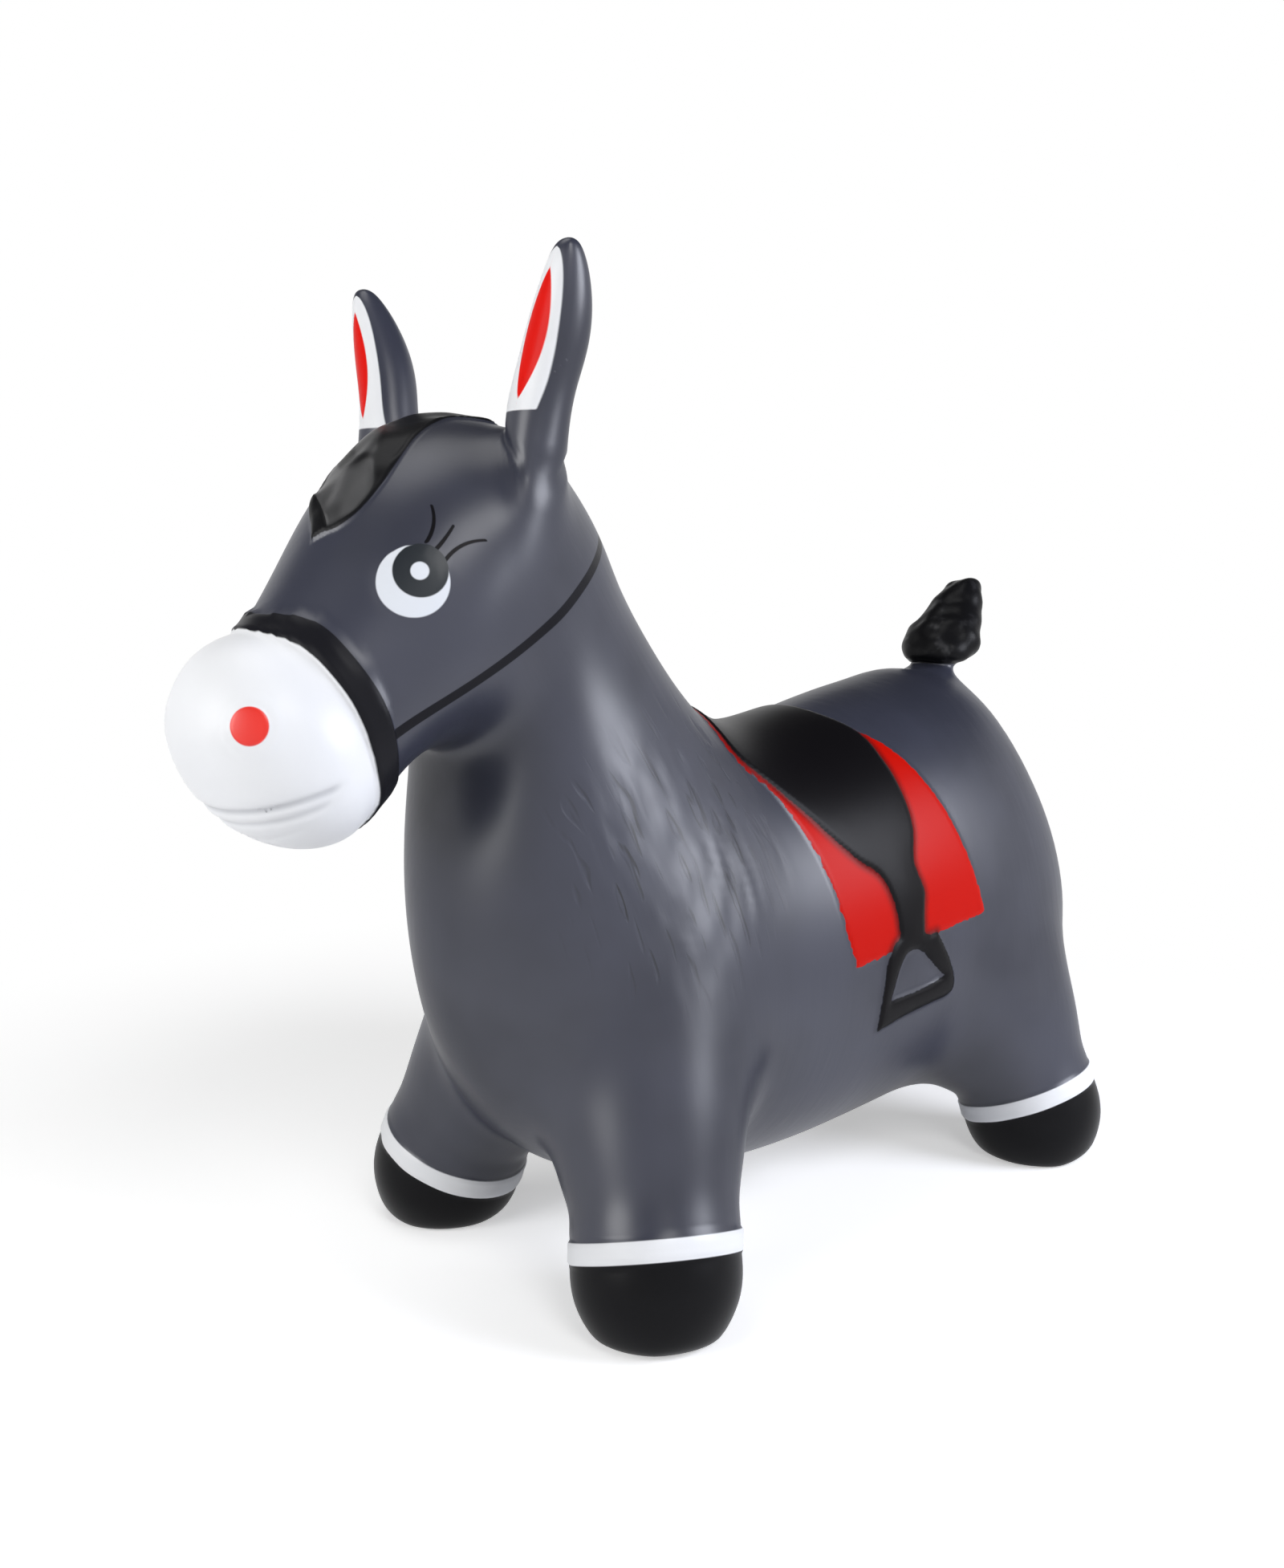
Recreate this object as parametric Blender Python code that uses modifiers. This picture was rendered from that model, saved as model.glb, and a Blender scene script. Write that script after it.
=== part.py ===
# Ride-on bouncing donkey: a blown-up, one-piece moulded vinyl animal with an air valve.
# It faces -Y, its own left side is +X, and the floor that it stands on is z = 0.
import math

import bmesh
import bpy
from mathutils import Matrix, Vector

COLLECTION = "bouncy_donkey"
STANDING_FRAME = "standing_frame"
ROUND_SIDES = 24

# The whole animal
BODY_LENGTH = 0.500
BODY_WIDTH = 0.220
BACK_HEIGHT = 0.320
HEAD_LENGTH = 0.200
HEAD_DEPTH = 0.200
HEAD_WIDTH = 0.170
POLL_HEIGHT = 0.430
POLL_SETBACK = 0.040

# Legs and hooves
FRONT_TRACK = 0.210
HIND_TRACK = 0.212
HIND_STATION_SHARE = 0.726
WHEELBASE = HIND_STATION_SHARE * BODY_LENGTH
HOOF_RADIUS = 0.0490
HOOF_HEIGHT = 0.041
BAND_HEIGHT = 0.0115
ANKLE_RADIUS = 0.0462
SOLE_RADIUS = 0.0300
SOLE_PRESS = 0.008
SHOULDER_BULGE = 0.014

# Ears
EAR_LENGTH = 0.105
EAR_RADIUS = 0.0187
EAR_SCOOP = 0.0030
EAR_TIP_SPREAD = 0.034
EAR_BOW = 0.0036

# Tail
TAIL_RISE = 0.068
TAIL_SWEEP = 0.055
TAIL_HALF_WIDTH = 0.0220
TAIL_THICKNESS = 0.0360

# Skin and the relief that is moulded in it
SKIN_WALL = 0.0016
PAINT_GAP = 0.0003
BAND_RELIEF = 0.0020
NOSEBAND_RELIEF = 0.0030
SADDLE_RELIEF = 0.0040
CLOTH_RELIEF = 0.0020
EYE_RELIEF = 0.0016
FORELOCK_RELIEF = 0.0045
NOSTRIL_RELIEF = 0.0014
EYE_RADIUS = 0.0168
NOSTRIL_RADIUS = 0.0095
MERGE_DISTANCE = 0.00005
MITRE_SHARE = 0.5
SHARP_ANGLE = math.radians(40.0)

# Air valve, under the belly
VALVE_FLANGE_RADIUS = 0.0125
VALVE_FLANGE_THICKNESS = 0.0014
VALVE_TUBE_RADIUS = 0.0080
VALVE_BORE_RADIUS = 0.0055
VALVE_TUBE_LENGTH = 0.0120
PLUG_HEAD_RADIUS = 0.0085
PLUG_HEAD_THICKNESS = 0.0018
PLUG_TAPER = 0.0006
PLUG_LENGTH_SHARE = 0.8

# Half a ring has seven points, from the top of the back to the middle of the belly.
# They sit at these shares of the way down and of the ring's half width.
RING_DROP_SHARES = (0.0, 0.08, 0.31, 0.61, 0.85, 0.975, 1.0)
RING_WIDTH_SHARES = (0.0, 0.54, 0.92, 1.0, 0.77, 0.32, 0.0)

# Rings of the trunk, from the rump to the throat. Each row gives where the ring meets the
# middle plane above and below, then its half width: y in shares of BODY_LENGTH behind the
# front hooves, z in shares of BACK_HEIGHT, x in shares of BODY_WIDTH.
TRUNK_SHARES = (
    (0.810, 0.88, 0.850, 0.26, 0.40),
    (0.750, 1.00, 0.815, 0.15, 0.49),
    (0.640, 1.07, 0.690, 0.115, 0.53),
    (0.530, 1.06, 0.560, 0.10, 0.53),
    (0.420, 1.01, 0.430, 0.08, 0.52),
    (0.330, 0.98, 0.280, 0.065, 0.50),
    (0.262, 0.99, 0.130, 0.11, 0.48),
    (0.220, 1.04, 0.000, 0.17, 0.46),
    (0.188, 1.10, -0.085, 0.29, 0.43),
    (0.158, 1.15, -0.128, 0.46, 0.40),
    (0.124, 1.22, -0.142, 0.63, 0.37),
    (0.088, 1.29, -0.135, 0.79, 0.33),
)
RUMP_CAP_SHARES = (0.870, 0.58)
FRONT_LEG_RINGS = (6, 8)
HIND_LEG_RINGS = (1, 3)

# Rings of the head, from the throat to the noseband, then the muzzle: y in shares of
# HEAD_LENGTH before the poll, z in shares of HEAD_DEPTH above it, x in shares of HEAD_WIDTH.
HEAD_SHARES = (
    (0.02, 0.03, 0.46, -0.63, 0.42),
    (0.22, 0.24, 0.52, -0.62, 0.46),
    (0.46, 0.31, 0.59, -0.62, 0.50),
    (0.69, 0.22, 0.65, -0.65, 0.46),
    (0.83, 0.02, 0.68, -0.68, 0.40),
)
NOSEBAND_SHARES = (
    (0.985, -0.255, 0.73, -0.735, 0.33),
    (1.03, -0.28, 0.775, -0.775, 0.325),
)
MUZZLE_SHARES = (
    (1.12, -0.29, 0.80, -0.82, 0.36),
    (1.20, -0.39, 0.91, -0.84, 0.32),
    (1.22, -0.51, 1.04, -0.79, 0.20),
)
MUZZLE_CAP_SHARES = (1.19, -0.67)

EAR_RING = 1
EAR_ROOT_SHARES = (0.40, 0.06, 0.315)
# Up the ear: height, radius, bow backwards and scoop as shares of the ear's own sizes
EAR_SHARES = (
    (0.29, 0.88, -1.0, 0.0),
    (0.48, 0.97, 0.2, 1.0),
    (0.68, 0.98, 0.6, 1.0),
    (0.90, 0.68, 0.2, 0.5),
    (1.04, 0.30, -0.6, 0.0),
)

TAIL_RING = 1
# Along the tail: sweep, rise, half width and thickness as shares of the tail's own sizes
TAIL_SHARES = (
    (0.10, 0.12, 0.75, 0.70),
    (0.30, 0.26, 0.75, 0.70),
    (0.32, 0.30, 1.15, 1.10),
    (0.55, 0.58, 1.20, 1.15),
    (0.78, 0.85, 0.95, 0.80),
    (0.95, 1.05, 0.45, 0.40),
)
TAIL_GIRTH_SHARES = (0.5, 0.25)

# A leg narrows from the body to the ankle: each row is how far down that way it is, then how
# much of SHOULDER_BULGE it stands out. The leg's axis leans outward by LEG_SPLAY_SHARE of its
# height, and forward or back by the rake.
LEG_SHARES = (
    (0.36, 0.80),
    (0.72, 0.60),
)
LEG_SPLAY_SHARE = 0.28
FRONT_RAKE_SHARE = -0.22
HIND_RAKE_SHARE = 0.16

RELAX_SHARE = 0.5
RELAX_PASSES = 3
LIMB_RELAX_PASSES = 4

# Paint outlines seen from the side: y in shares of BODY_LENGTH behind the front hooves,
# z in shares of BACK_HEIGHT. The saddle runs down into its strap and the stirrup.
SADDLE_SHARES = (
    (0.222, 1.080), (0.216, 0.930), (0.258, 0.856), (0.290, 0.803), (0.320, 0.753),
    (0.348, 0.712), (0.376, 0.681), (0.394, 0.625), (0.403, 0.550), (0.400, 0.520),
    (0.372, 0.388), (0.384, 0.366), (0.527, 0.404), (0.530, 0.440), (0.482, 0.545),
    (0.446, 0.553), (0.445, 0.625), (0.435, 0.694), (0.449, 0.759), (0.451, 0.822),
    (0.448, 0.890), (0.442, 0.931), (0.416, 0.975), (0.410, 1.080),
)
STIRRUP_WINDOW_SHARES = ((0.432, 0.525), (0.497, 0.452), (0.395, 0.430))
CLOTH_SHARES = (
    (0.265, 1.080), (0.258, 0.862), (0.279, 0.768), (0.298, 0.675), (0.308, 0.606),
    (0.322, 0.525), (0.556, 0.573), (0.548, 0.622), (0.524, 0.738), (0.502, 0.822),
    (0.476, 0.888), (0.440, 0.935), (0.405, 0.960), (0.400, 1.080),
)
# The forelock's outline across the brow: x in shares of HEAD_WIDTH, and how far down the
# brow's slope in shares of HEAD_LENGTH.
FORELOCK_SHARES = (
    (0.17, -0.02), (0.05, 0.05), (0.11, 0.18), (0.165, 0.29), (0.17, 0.41), (0.12, 0.49),
    (0.02, 0.53), (-0.07, 0.49), (-0.14, 0.42), (-0.18, 0.30), (-0.20, 0.15), (-0.20, 0.00),
    (-0.14, -0.04), (0.00, -0.04),
)
FORELOCK_TOP_SHARES = (0.425, 0.235)
BROW_FALL_SHARE = 0.75
FOREHEAD_SHARES = (0.60, -0.24)
FORELOCK_FIELD_SHARES = (0.23, 0.22)
FORELOCK_REACH_SHARE = 0.25
PAD_FIELD_SHARE = 2.5
EYE_SHARES = (0.345, 0.755, -0.165)
NOSTRIL_SHARES = (0.230, 1.127, -0.49)
VALVE_SHARE = 0.40

ZONES = ("body", "head", "muzzle", "noseband", "ear", "ear_lining", "leg", "hoof_band", "hoof",
         "tail_stub", "tail_tuft")
PAIRED_ZONES = ("ear", "ear_lining")
FOUR_ZONES = ("leg", "hoof_band", "hoof")


def clear_scene():
    for thing in list(bpy.data.objects):
        bpy.data.objects.remove(thing, do_unlink=True)


def new_collection(name):
    group = bpy.data.collections.new(name)
    bpy.context.scene.collection.children.link(group)
    return group


def material(name, colour, roughness, metallic=0.0):
    made = bpy.data.materials.new(name)
    made.use_nodes = True
    shader = made.node_tree.nodes["Principled BSDF"]
    shader.inputs["Base Color"].default_value = (*colour, 1.0)
    shader.inputs["Roughness"].default_value = roughness
    shader.inputs["Metallic"].default_value = metallic
    return made


def add_object(name, mesh, group, surface):
    made = bpy.data.objects.new(name, mesh)
    group.objects.link(made)
    if surface is not None:
        mesh.materials.clear()
        mesh.materials.append(surface)
    return made


def swell(sides):
    """How much wider a cage of so many sides is than the surface that it gives."""
    return 4.0 / (3.0 + math.cos(2.0 * math.pi / sides))


def half_ring(bm, top, bottom, half_width):
    points = []
    for drop, out in zip(RING_DROP_SHARES, RING_WIDTH_SHARES):
        points.append(bm.verts.new(top.lerp(bottom, drop) + Vector((half_width * out, 0.0, 0.0))))
    return points


def spine_rings():
    """Every ring's top point, bottom point and half width, from the rump to the muzzle."""
    rings = []
    for top_y, top_z, low_y, low_z, half in TRUNK_SHARES:
        top = Vector((0.0, top_y * BODY_LENGTH, top_z * BACK_HEIGHT))
        low = Vector((0.0, low_y * BODY_LENGTH, low_z * BACK_HEIGHT))
        rings.append((top, low, half * BODY_WIDTH))
    for top_y, top_z, low_y, low_z, half in HEAD_SHARES + NOSEBAND_SHARES + MUZZLE_SHARES:
        rings.append((head_point(top_y, top_z), head_point(low_y, low_z), half * HEAD_WIDTH))
    return rings


def head_point(forward_share, up_share, side=0.0):
    return Vector((side, POLL_SETBACK - forward_share * HEAD_LENGTH, POLL_HEIGHT + up_share * HEAD_DEPTH))


def close_end(bm, ring, centre, zone):
    middle = bm.verts.new(centre)
    for first in (0, 2, 4):
        face = bm.faces.new((ring[first], ring[first + 1], ring[first + 2], middle))
        face.material_index = zone


def grow(bm, block, levels, zones):
    """Extrude a block of faces through the levels; each level is a grid of new places."""
    faces = list(block["faces"])
    grid = list(block["grid"])
    for places, zone in zip(levels, zones):
        made = bmesh.ops.extrude_face_region(bm, geom=faces)
        fresh = [item for item in made["geom"] if isinstance(item, bmesh.types.BMVert)]
        caps = [item for item in made["geom"] if isinstance(item, bmesh.types.BMFace)]
        moved = [min(fresh, key=lambda v: (v.co - old.co).length) for old in grid]
        bmesh.ops.delete(bm, geom=faces, context="FACES")
        sides = set()
        for vert in moved:
            sides.update(vert.link_faces)
        for face in sides - set(caps):
            face.material_index = zone(face, moved) if callable(zone) else zone
        for vert, place in zip(moved, places):
            vert.co = place
        faces = caps
        grid = moved
    last = zones[-1]
    for face in faces:
        face.material_index = last(face, grid) if callable(last) else last


def block_between(bm, rings, first_ring, last_ring, first_point, last_point):
    """The faces and the grid of corners between some rings and some points of them."""
    grid = []
    for ring in rings[first_ring:last_ring + 1]:
        grid.extend(ring[first_point:last_point + 1])
    inside = set(grid)
    faces = [face for face in bm.faces if all(vert in inside for vert in face.verts)]
    return {"grid": grid, "faces": faces}


def leg_levels(track, station, rake):
    """Octagonal rings down a leg: the block's rows run forward, its columns run inward."""
    wide = swell(8)
    foot = Vector((track / 2.0, station, 0.0))
    axis = Vector((-LEG_SPLAY_SHARE, -rake, 1.0)).normalized()
    ankle = HOOF_HEIGHT + BAND_HEIGHT
    rows = [(ankle, ANKLE_RADIUS), (HOOF_HEIGHT, HOOF_RADIUS)]
    rows.append((HOOF_HEIGHT / 2.0, HOOF_RADIUS))
    rows.append((SOLE_PRESS / 2.0, (HOOF_RADIUS + SOLE_RADIUS) / 2.0))
    rows.append((-SOLE_PRESS, SOLE_RADIUS))
    fore = Vector((0.0, -1.0, 0.0))
    fore = (fore - axis * fore.dot(axis)).normalized()
    inward = fore.cross(axis)
    levels = []
    for along, radius in rows:
        places = []
        for ahead in (-1, 0, 1):
            for across in (-1, 0, 1):
                step = fore * ahead + inward * across
                if step.length > 0.0:
                    step = step.normalized() * radius * wide
                places.append(foot + axis * along + step)
        levels.append(places)
    return levels


def shoulder_level(grid, below, along, fullness):
    """Part of the way from the body to the ankle, and fuller than the straight line."""
    middle = below[len(below) // 2]
    places = []
    for vert, low in zip(grid, below):
        out = low - middle
        if out.length > 0.0:
            out = out.normalized() * SHOULDER_BULGE * fullness
        places.append(vert.co.lerp(low, along) + out)
    return places


def add_leg(bm, rings, between, track, station, rake):
    block = block_between(bm, rings, between[0], between[1], 3, 5)
    leg, band, hoof = (ZONES.index(name) for name in ("leg", "hoof_band", "hoof"))
    zones = [leg] * (len(LEG_SHARES) + 1) + [band] + [hoof] * 3
    levels = leg_levels(track, station, rake)
    shoulders = [shoulder_level(block["grid"], levels[0], *row) for row in LEG_SHARES]
    grow(bm, block, shoulders + levels, zones)
    crotch = block_between(bm, rings, between[0], between[1], 5, 6)
    for face in crotch["faces"]:
        face.material_index = leg


def limb_level(centre, across, through, half_width, depths):
    """Six points round a flat limb: three behind and three in front, from inner to outer."""
    behind, side, rim, front = depths
    return [centre - across * half_width - through * side,
            centre - through * behind,
            centre + across * half_width - through * side,
            centre - across * half_width + through * rim,
            centre + through * front,
            centre + across * half_width + through * rim]


def add_ear(bm, rings):
    first = len(TRUNK_SHARES) + EAR_RING
    block = block_between(bm, rings, first, first + 1, 1, 3)
    root = head_point(*EAR_ROOT_SHARES[:2], side=EAR_ROOT_SHARES[2] * HEAD_WIDTH)
    across = Vector((1.0, 0.0, 0.0))
    through = Vector((0.0, -1.0, 0.0))
    levels = []
    for height, width, bow, scoop in EAR_SHARES:
        centre = root + Vector((EAR_TIP_SPREAD * height, EAR_BOW * bow, EAR_LENGTH * height))
        radius = EAR_RADIUS * width * swell(6)
        half = radius * math.sin(math.pi / 3.0)
        depths = (radius, radius / 2.0, radius / 2.0, radius - EAR_SCOOP * scoop)
        levels.append(limb_level(centre, across, through, half, depths))
    ear, lining = ZONES.index("ear"), ZONES.index("ear_lining")

    def ear_zone(face, grid):
        facing = sum(1 for vert in face.verts if vert in grid[3:])
        return lining if facing == 2 else ear

    zones = [ZONES.index("head")] + [ear_zone] * (len(EAR_SHARES) - 2) + [ear]
    grow(bm, block, levels, zones)


def add_tail(bm, rings):
    pair = rings[TAIL_RING:TAIL_RING + 2]
    grid = []
    for ring in reversed(pair):
        mirrored = min(bm.verts, key=lambda v: (v.co - Vector((-ring[1].co.x, *ring[1].co.yz))).length)
        grid.extend((mirrored, ring[0], ring[1]))
    inside = set(grid)
    faces = [face for face in bm.faces if all(vert in inside for vert in face.verts)]
    root = sum((vert.co for vert in grid), Vector()) / len(grid)
    levels = []
    for sweep, rise, width, girth in TAIL_SHARES:
        centre = root + Vector((0.0, TAIL_SWEEP * sweep, TAIL_RISE * rise))
        far, near = (share * TAIL_THICKNESS * girth for share in TAIL_GIRTH_SHARES)
        depths = (far, near, near, far)
        levels.append(limb_level(centre, Vector((1.0, 0.0, 0.0)), Vector((0.0, 1.0, 0.0)),
                                 TAIL_HALF_WIDTH * width, depths))
    stub, tuft = ZONES.index("tail_stub"), ZONES.index("tail_tuft")
    grow(bm, {"grid": grid, "faces": faces}, levels, [stub] * 2 + [tuft] * (len(TAIL_SHARES) - 2))


def zone_of_ring(step):
    """The zone between ring number step and the next."""
    throat = len(TRUNK_SHARES)
    noseband = throat + len(HEAD_SHARES)
    muzzle = noseband + len(NOSEBAND_SHARES) - 1
    if step < throat:
        return ZONES.index("body")
    if step < noseband:
        return ZONES.index("head")
    if step < muzzle:
        return ZONES.index("noseband")
    return ZONES.index("muzzle")


def build_cage():
    """The coarse cage of the whole moulding, with a zone number on every face."""
    bm = bmesh.new()
    rings = [half_ring(bm, *row) for row in spine_rings()]
    for step in range(len(rings) - 1):
        for point in range(len(RING_WIDTH_SHARES) - 1):
            face = bm.faces.new((rings[step][point], rings[step + 1][point],
                                 rings[step + 1][point + 1], rings[step][point + 1]))
            face.material_index = zone_of_ring(step)
    rump = Vector((0.0, RUMP_CAP_SHARES[0] * BODY_LENGTH, RUMP_CAP_SHARES[1] * BACK_HEIGHT))
    close_end(bm, rings[0], rump, ZONES.index("body"))
    close_end(bm, rings[-1], head_point(*MUZZLE_CAP_SHARES), ZONES.index("muzzle"))
    add_leg(bm, rings, FRONT_LEG_RINGS, FRONT_TRACK, 0.0, FRONT_RAKE_SHARE)
    add_leg(bm, rings, HIND_LEG_RINGS, HIND_TRACK, WHEELBASE, HIND_RAKE_SHARE)
    add_ear(bm, rings)
    bmesh.ops.mirror(bm, geom=bm.verts[:] + bm.edges[:] + bm.faces[:], matrix=Matrix.Identity(4),
                     merge_dist=MERGE_DISTANCE, axis="X")
    add_tail(bm, rings)
    bmesh.ops.recalc_face_normals(bm, faces=bm.faces[:])
    mesh = bpy.data.meshes.new("cage")
    bm.to_mesh(mesh)
    bm.free()
    return mesh


def smooth_skin(cage, group):
    """The cage subdivided once, its soles pressed flat on the floor, all in triangles."""
    for name in ZONES:
        cage.materials.append(bpy.data.materials.new("zone_" + name))
    guide = add_object("cage", cage, group, None)
    subdivide = guide.modifiers.new("rounded", "SUBSURF")
    subdivide.levels = 1
    subdivide.render_levels = 1
    ready = guide.evaluated_get(bpy.context.evaluated_depsgraph_get())
    bm = bmesh.new()
    bm.from_mesh(ready.to_mesh())
    ready.to_mesh_clear()
    relaxed = [ZONES.index(name) for name in ("body", "leg", "head")]
    loose = [vert for vert in bm.verts if all(face.material_index in relaxed for face in vert.link_faces)]
    limbs = [vert for vert in loose
             if any(face.material_index == ZONES.index("leg") for face in vert.link_faces)]
    for some in [loose] * RELAX_PASSES + [limbs] * LIMB_RELAX_PASSES:
        bmesh.ops.smooth_vert(bm, verts=some, factor=RELAX_SHARE, use_axis_x=True, use_axis_y=True,
                              use_axis_z=True)
    for vert in bm.verts:
        vert.co.z = max(vert.co.z, 0.0)
    bmesh.ops.triangulate(bm, faces=bm.faces[:])
    bmesh.ops.recalc_face_normals(bm, faces=bm.faces[:])
    bm.normal_update()
    guide.hide_render = True
    guide.display_type = "WIRE"
    return bm


def zone_key(face):
    """A face's zone name, with front or hind and left or right where the zone repeats."""
    name = ZONES[face.material_index]
    centre = face.calc_center_median()
    side = "left" if centre.x > 0.0 else "right"
    if name in PAIRED_ZONES:
        return f"{name}_{side}"
    if name in FOUR_ZONES:
        end = "front" if centre.y < WHEELBASE / 2.0 else "hind"
        return f"{name}_{end}_{side}"
    return name


def zone_faces(skin):
    zones = {}
    for face in skin.faces:
        zones.setdefault(zone_key(face), []).append(face)
    return zones


def shell_of(faces, outer_rise, inner_rise, gap):
    """A closed wall over the faces, between two offsets, drawn in by the gap at its edges."""
    inside = set(faces)
    verts = {vert for face in faces for vert in face.verts}
    bm = bmesh.new()
    outer = {}
    inner = {}
    for vert in sorted(verts, key=lambda v: v.index):
        normal = vert.normal
        shift = Vector()
        for loop in [step for face in vert.link_faces if face in inside for step in face.loops]:
            ends = (loop.vert, loop.link_loop_next.vert)
            if vert in ends and loop.link_loop_radial_next.face not in inside:
                shift += normal.cross(ends[1].co - ends[0].co).normalized()
        if shift.length > 0.0:
            shift *= gap / max(shift.length_squared / 2.0, MITRE_SHARE)
        outer[vert] = bm.verts.new(vert.co + normal * outer_rise + shift)
        inner[vert] = bm.verts.new(vert.co + normal * inner_rise + shift)
    for face in faces:
        bm.faces.new([outer[loop.vert] for loop in face.loops])
        bm.faces.new([inner[loop.vert] for loop in reversed(list(face.loops))])
        for loop in face.loops:
            if loop.link_loop_radial_next.face not in inside:
                here, there = loop.vert, loop.link_loop_next.vert
                if here.index < there.index:
                    bm.faces.new((outer[there], outer[here], inner[there]))
                    bm.faces.new((outer[here], inner[here], inner[there]))
                else:
                    bm.faces.new((outer[there], outer[here], inner[here]))
                    bm.faces.new((outer[there], inner[here], inner[there]))
    bm.normal_update()
    mesh = bpy.data.meshes.new("shell")
    bm.to_mesh(mesh)
    bm.free()
    mesh.shade_smooth()
    mesh.set_sharp_from_angle(angle=SHARP_ANGLE)
    return mesh


def prism(name, outline, depth, guides, parent):
    """A straight-sided cutter on a closed outline, reaching the same depth both ways."""
    bm = bmesh.new()
    corners = [bm.verts.new(Vector(point) - Vector(depth)) for point in outline]
    base = bm.faces.new(corners)
    made = bmesh.ops.extrude_face_region(bm, geom=[base])
    fresh = [item for item in made["geom"] if isinstance(item, bmesh.types.BMVert)]
    bmesh.ops.translate(bm, verts=fresh, vec=Vector(depth) * 2.0)
    bmesh.ops.recalc_face_normals(bm, faces=bm.faces[:])
    mesh = bpy.data.meshes.new(name)
    bm.to_mesh(mesh)
    bm.free()
    cutter = add_object(name, mesh, guides, None)
    hide(cutter, parent)
    return cutter


def rod(name, centre, direction, radius, reach, guides, parent):
    """A round cutter through a centre, along a direction."""
    bm = bmesh.new()
    bmesh.ops.create_cone(bm, cap_ends=True, segments=ROUND_SIDES, radius1=radius, radius2=radius,
                          depth=reach * 2.0)
    turn = Vector(direction).to_track_quat("Z", "Y").to_matrix().to_4x4()
    bmesh.ops.transform(bm, matrix=Matrix.Translation(centre) @ turn, verts=bm.verts[:])
    mesh = bpy.data.meshes.new(name)
    bm.to_mesh(mesh)
    bm.free()
    cutter = add_object(name, mesh, guides, None)
    hide(cutter, parent)
    return cutter


def hide(guide, parent):
    guide.hide_render = True
    guide.display_type = "WIRE"
    attach(guide, parent)


def attach(child, parent, place=None):
    """Parent a piece; its mesh is in the standing frame unless it has a place of its own."""
    child.parent = parent
    here = Vector() if place is None else Vector(place)
    up = parent
    while up is not None and up.name != STANDING_FRAME:
        here -= up.location
        up = up.parent
    child.location = here


def boolean(piece, cutter, operation):
    cut = piece.modifiers.new(cutter.name, "BOOLEAN")
    cut.operation = operation
    cut.solver = "EXACT"
    cut.object = cutter


def turned(name, profile, group, surface):
    """A turned piece: a profile in radius and height, spun round Z."""
    mesh = bpy.data.meshes.new(name)
    edges = [(step, step + 1) for step in range(len(profile) - 1)]
    if profile[0][0] > 0.0:
        edges.append((len(profile) - 1, 0))
    mesh.from_pydata([(radius, 0.0, height) for radius, height in profile], edges, [])
    piece = add_object(name, mesh, group, surface)
    spin = piece.modifiers.new("turned", "SCREW")
    spin.steps = ROUND_SIDES
    spin.render_steps = ROUND_SIDES
    spin.use_merge_vertices = True
    spin.merge_threshold = MERGE_DISTANCE
    spin.use_smooth_shade = False
    return piece


def side_outline(shares):
    return [(0.0, y * BODY_LENGTH, z * BACK_HEIGHT) for y, z in shares]


def spread(outline, gap):
    """The same outline, grown outward by a gap on every side."""
    points = [Vector((y, z)) for _, y, z in outline]
    area = sum(here.cross(there) for here, there in zip(points, points[1:] + points[:1]))
    grown = []
    for step, here in enumerate(points):
        before = (here - points[step - 1]).normalized()
        after = (points[(step + 1) % len(points)] - here).normalized()
        out = Vector((before.y + after.y, -before.x - after.x)) * math.copysign(1.0, area)
        grown.append((0.0, *(here + out * gap * 2.0 / max(out.length_squared, MITRE_SHARE))))
    return grown


def surface_normal(skin, place):
    nearest = min(skin.verts, key=lambda v: (v.co - place).length)
    return nearest.normal.copy()


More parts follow.
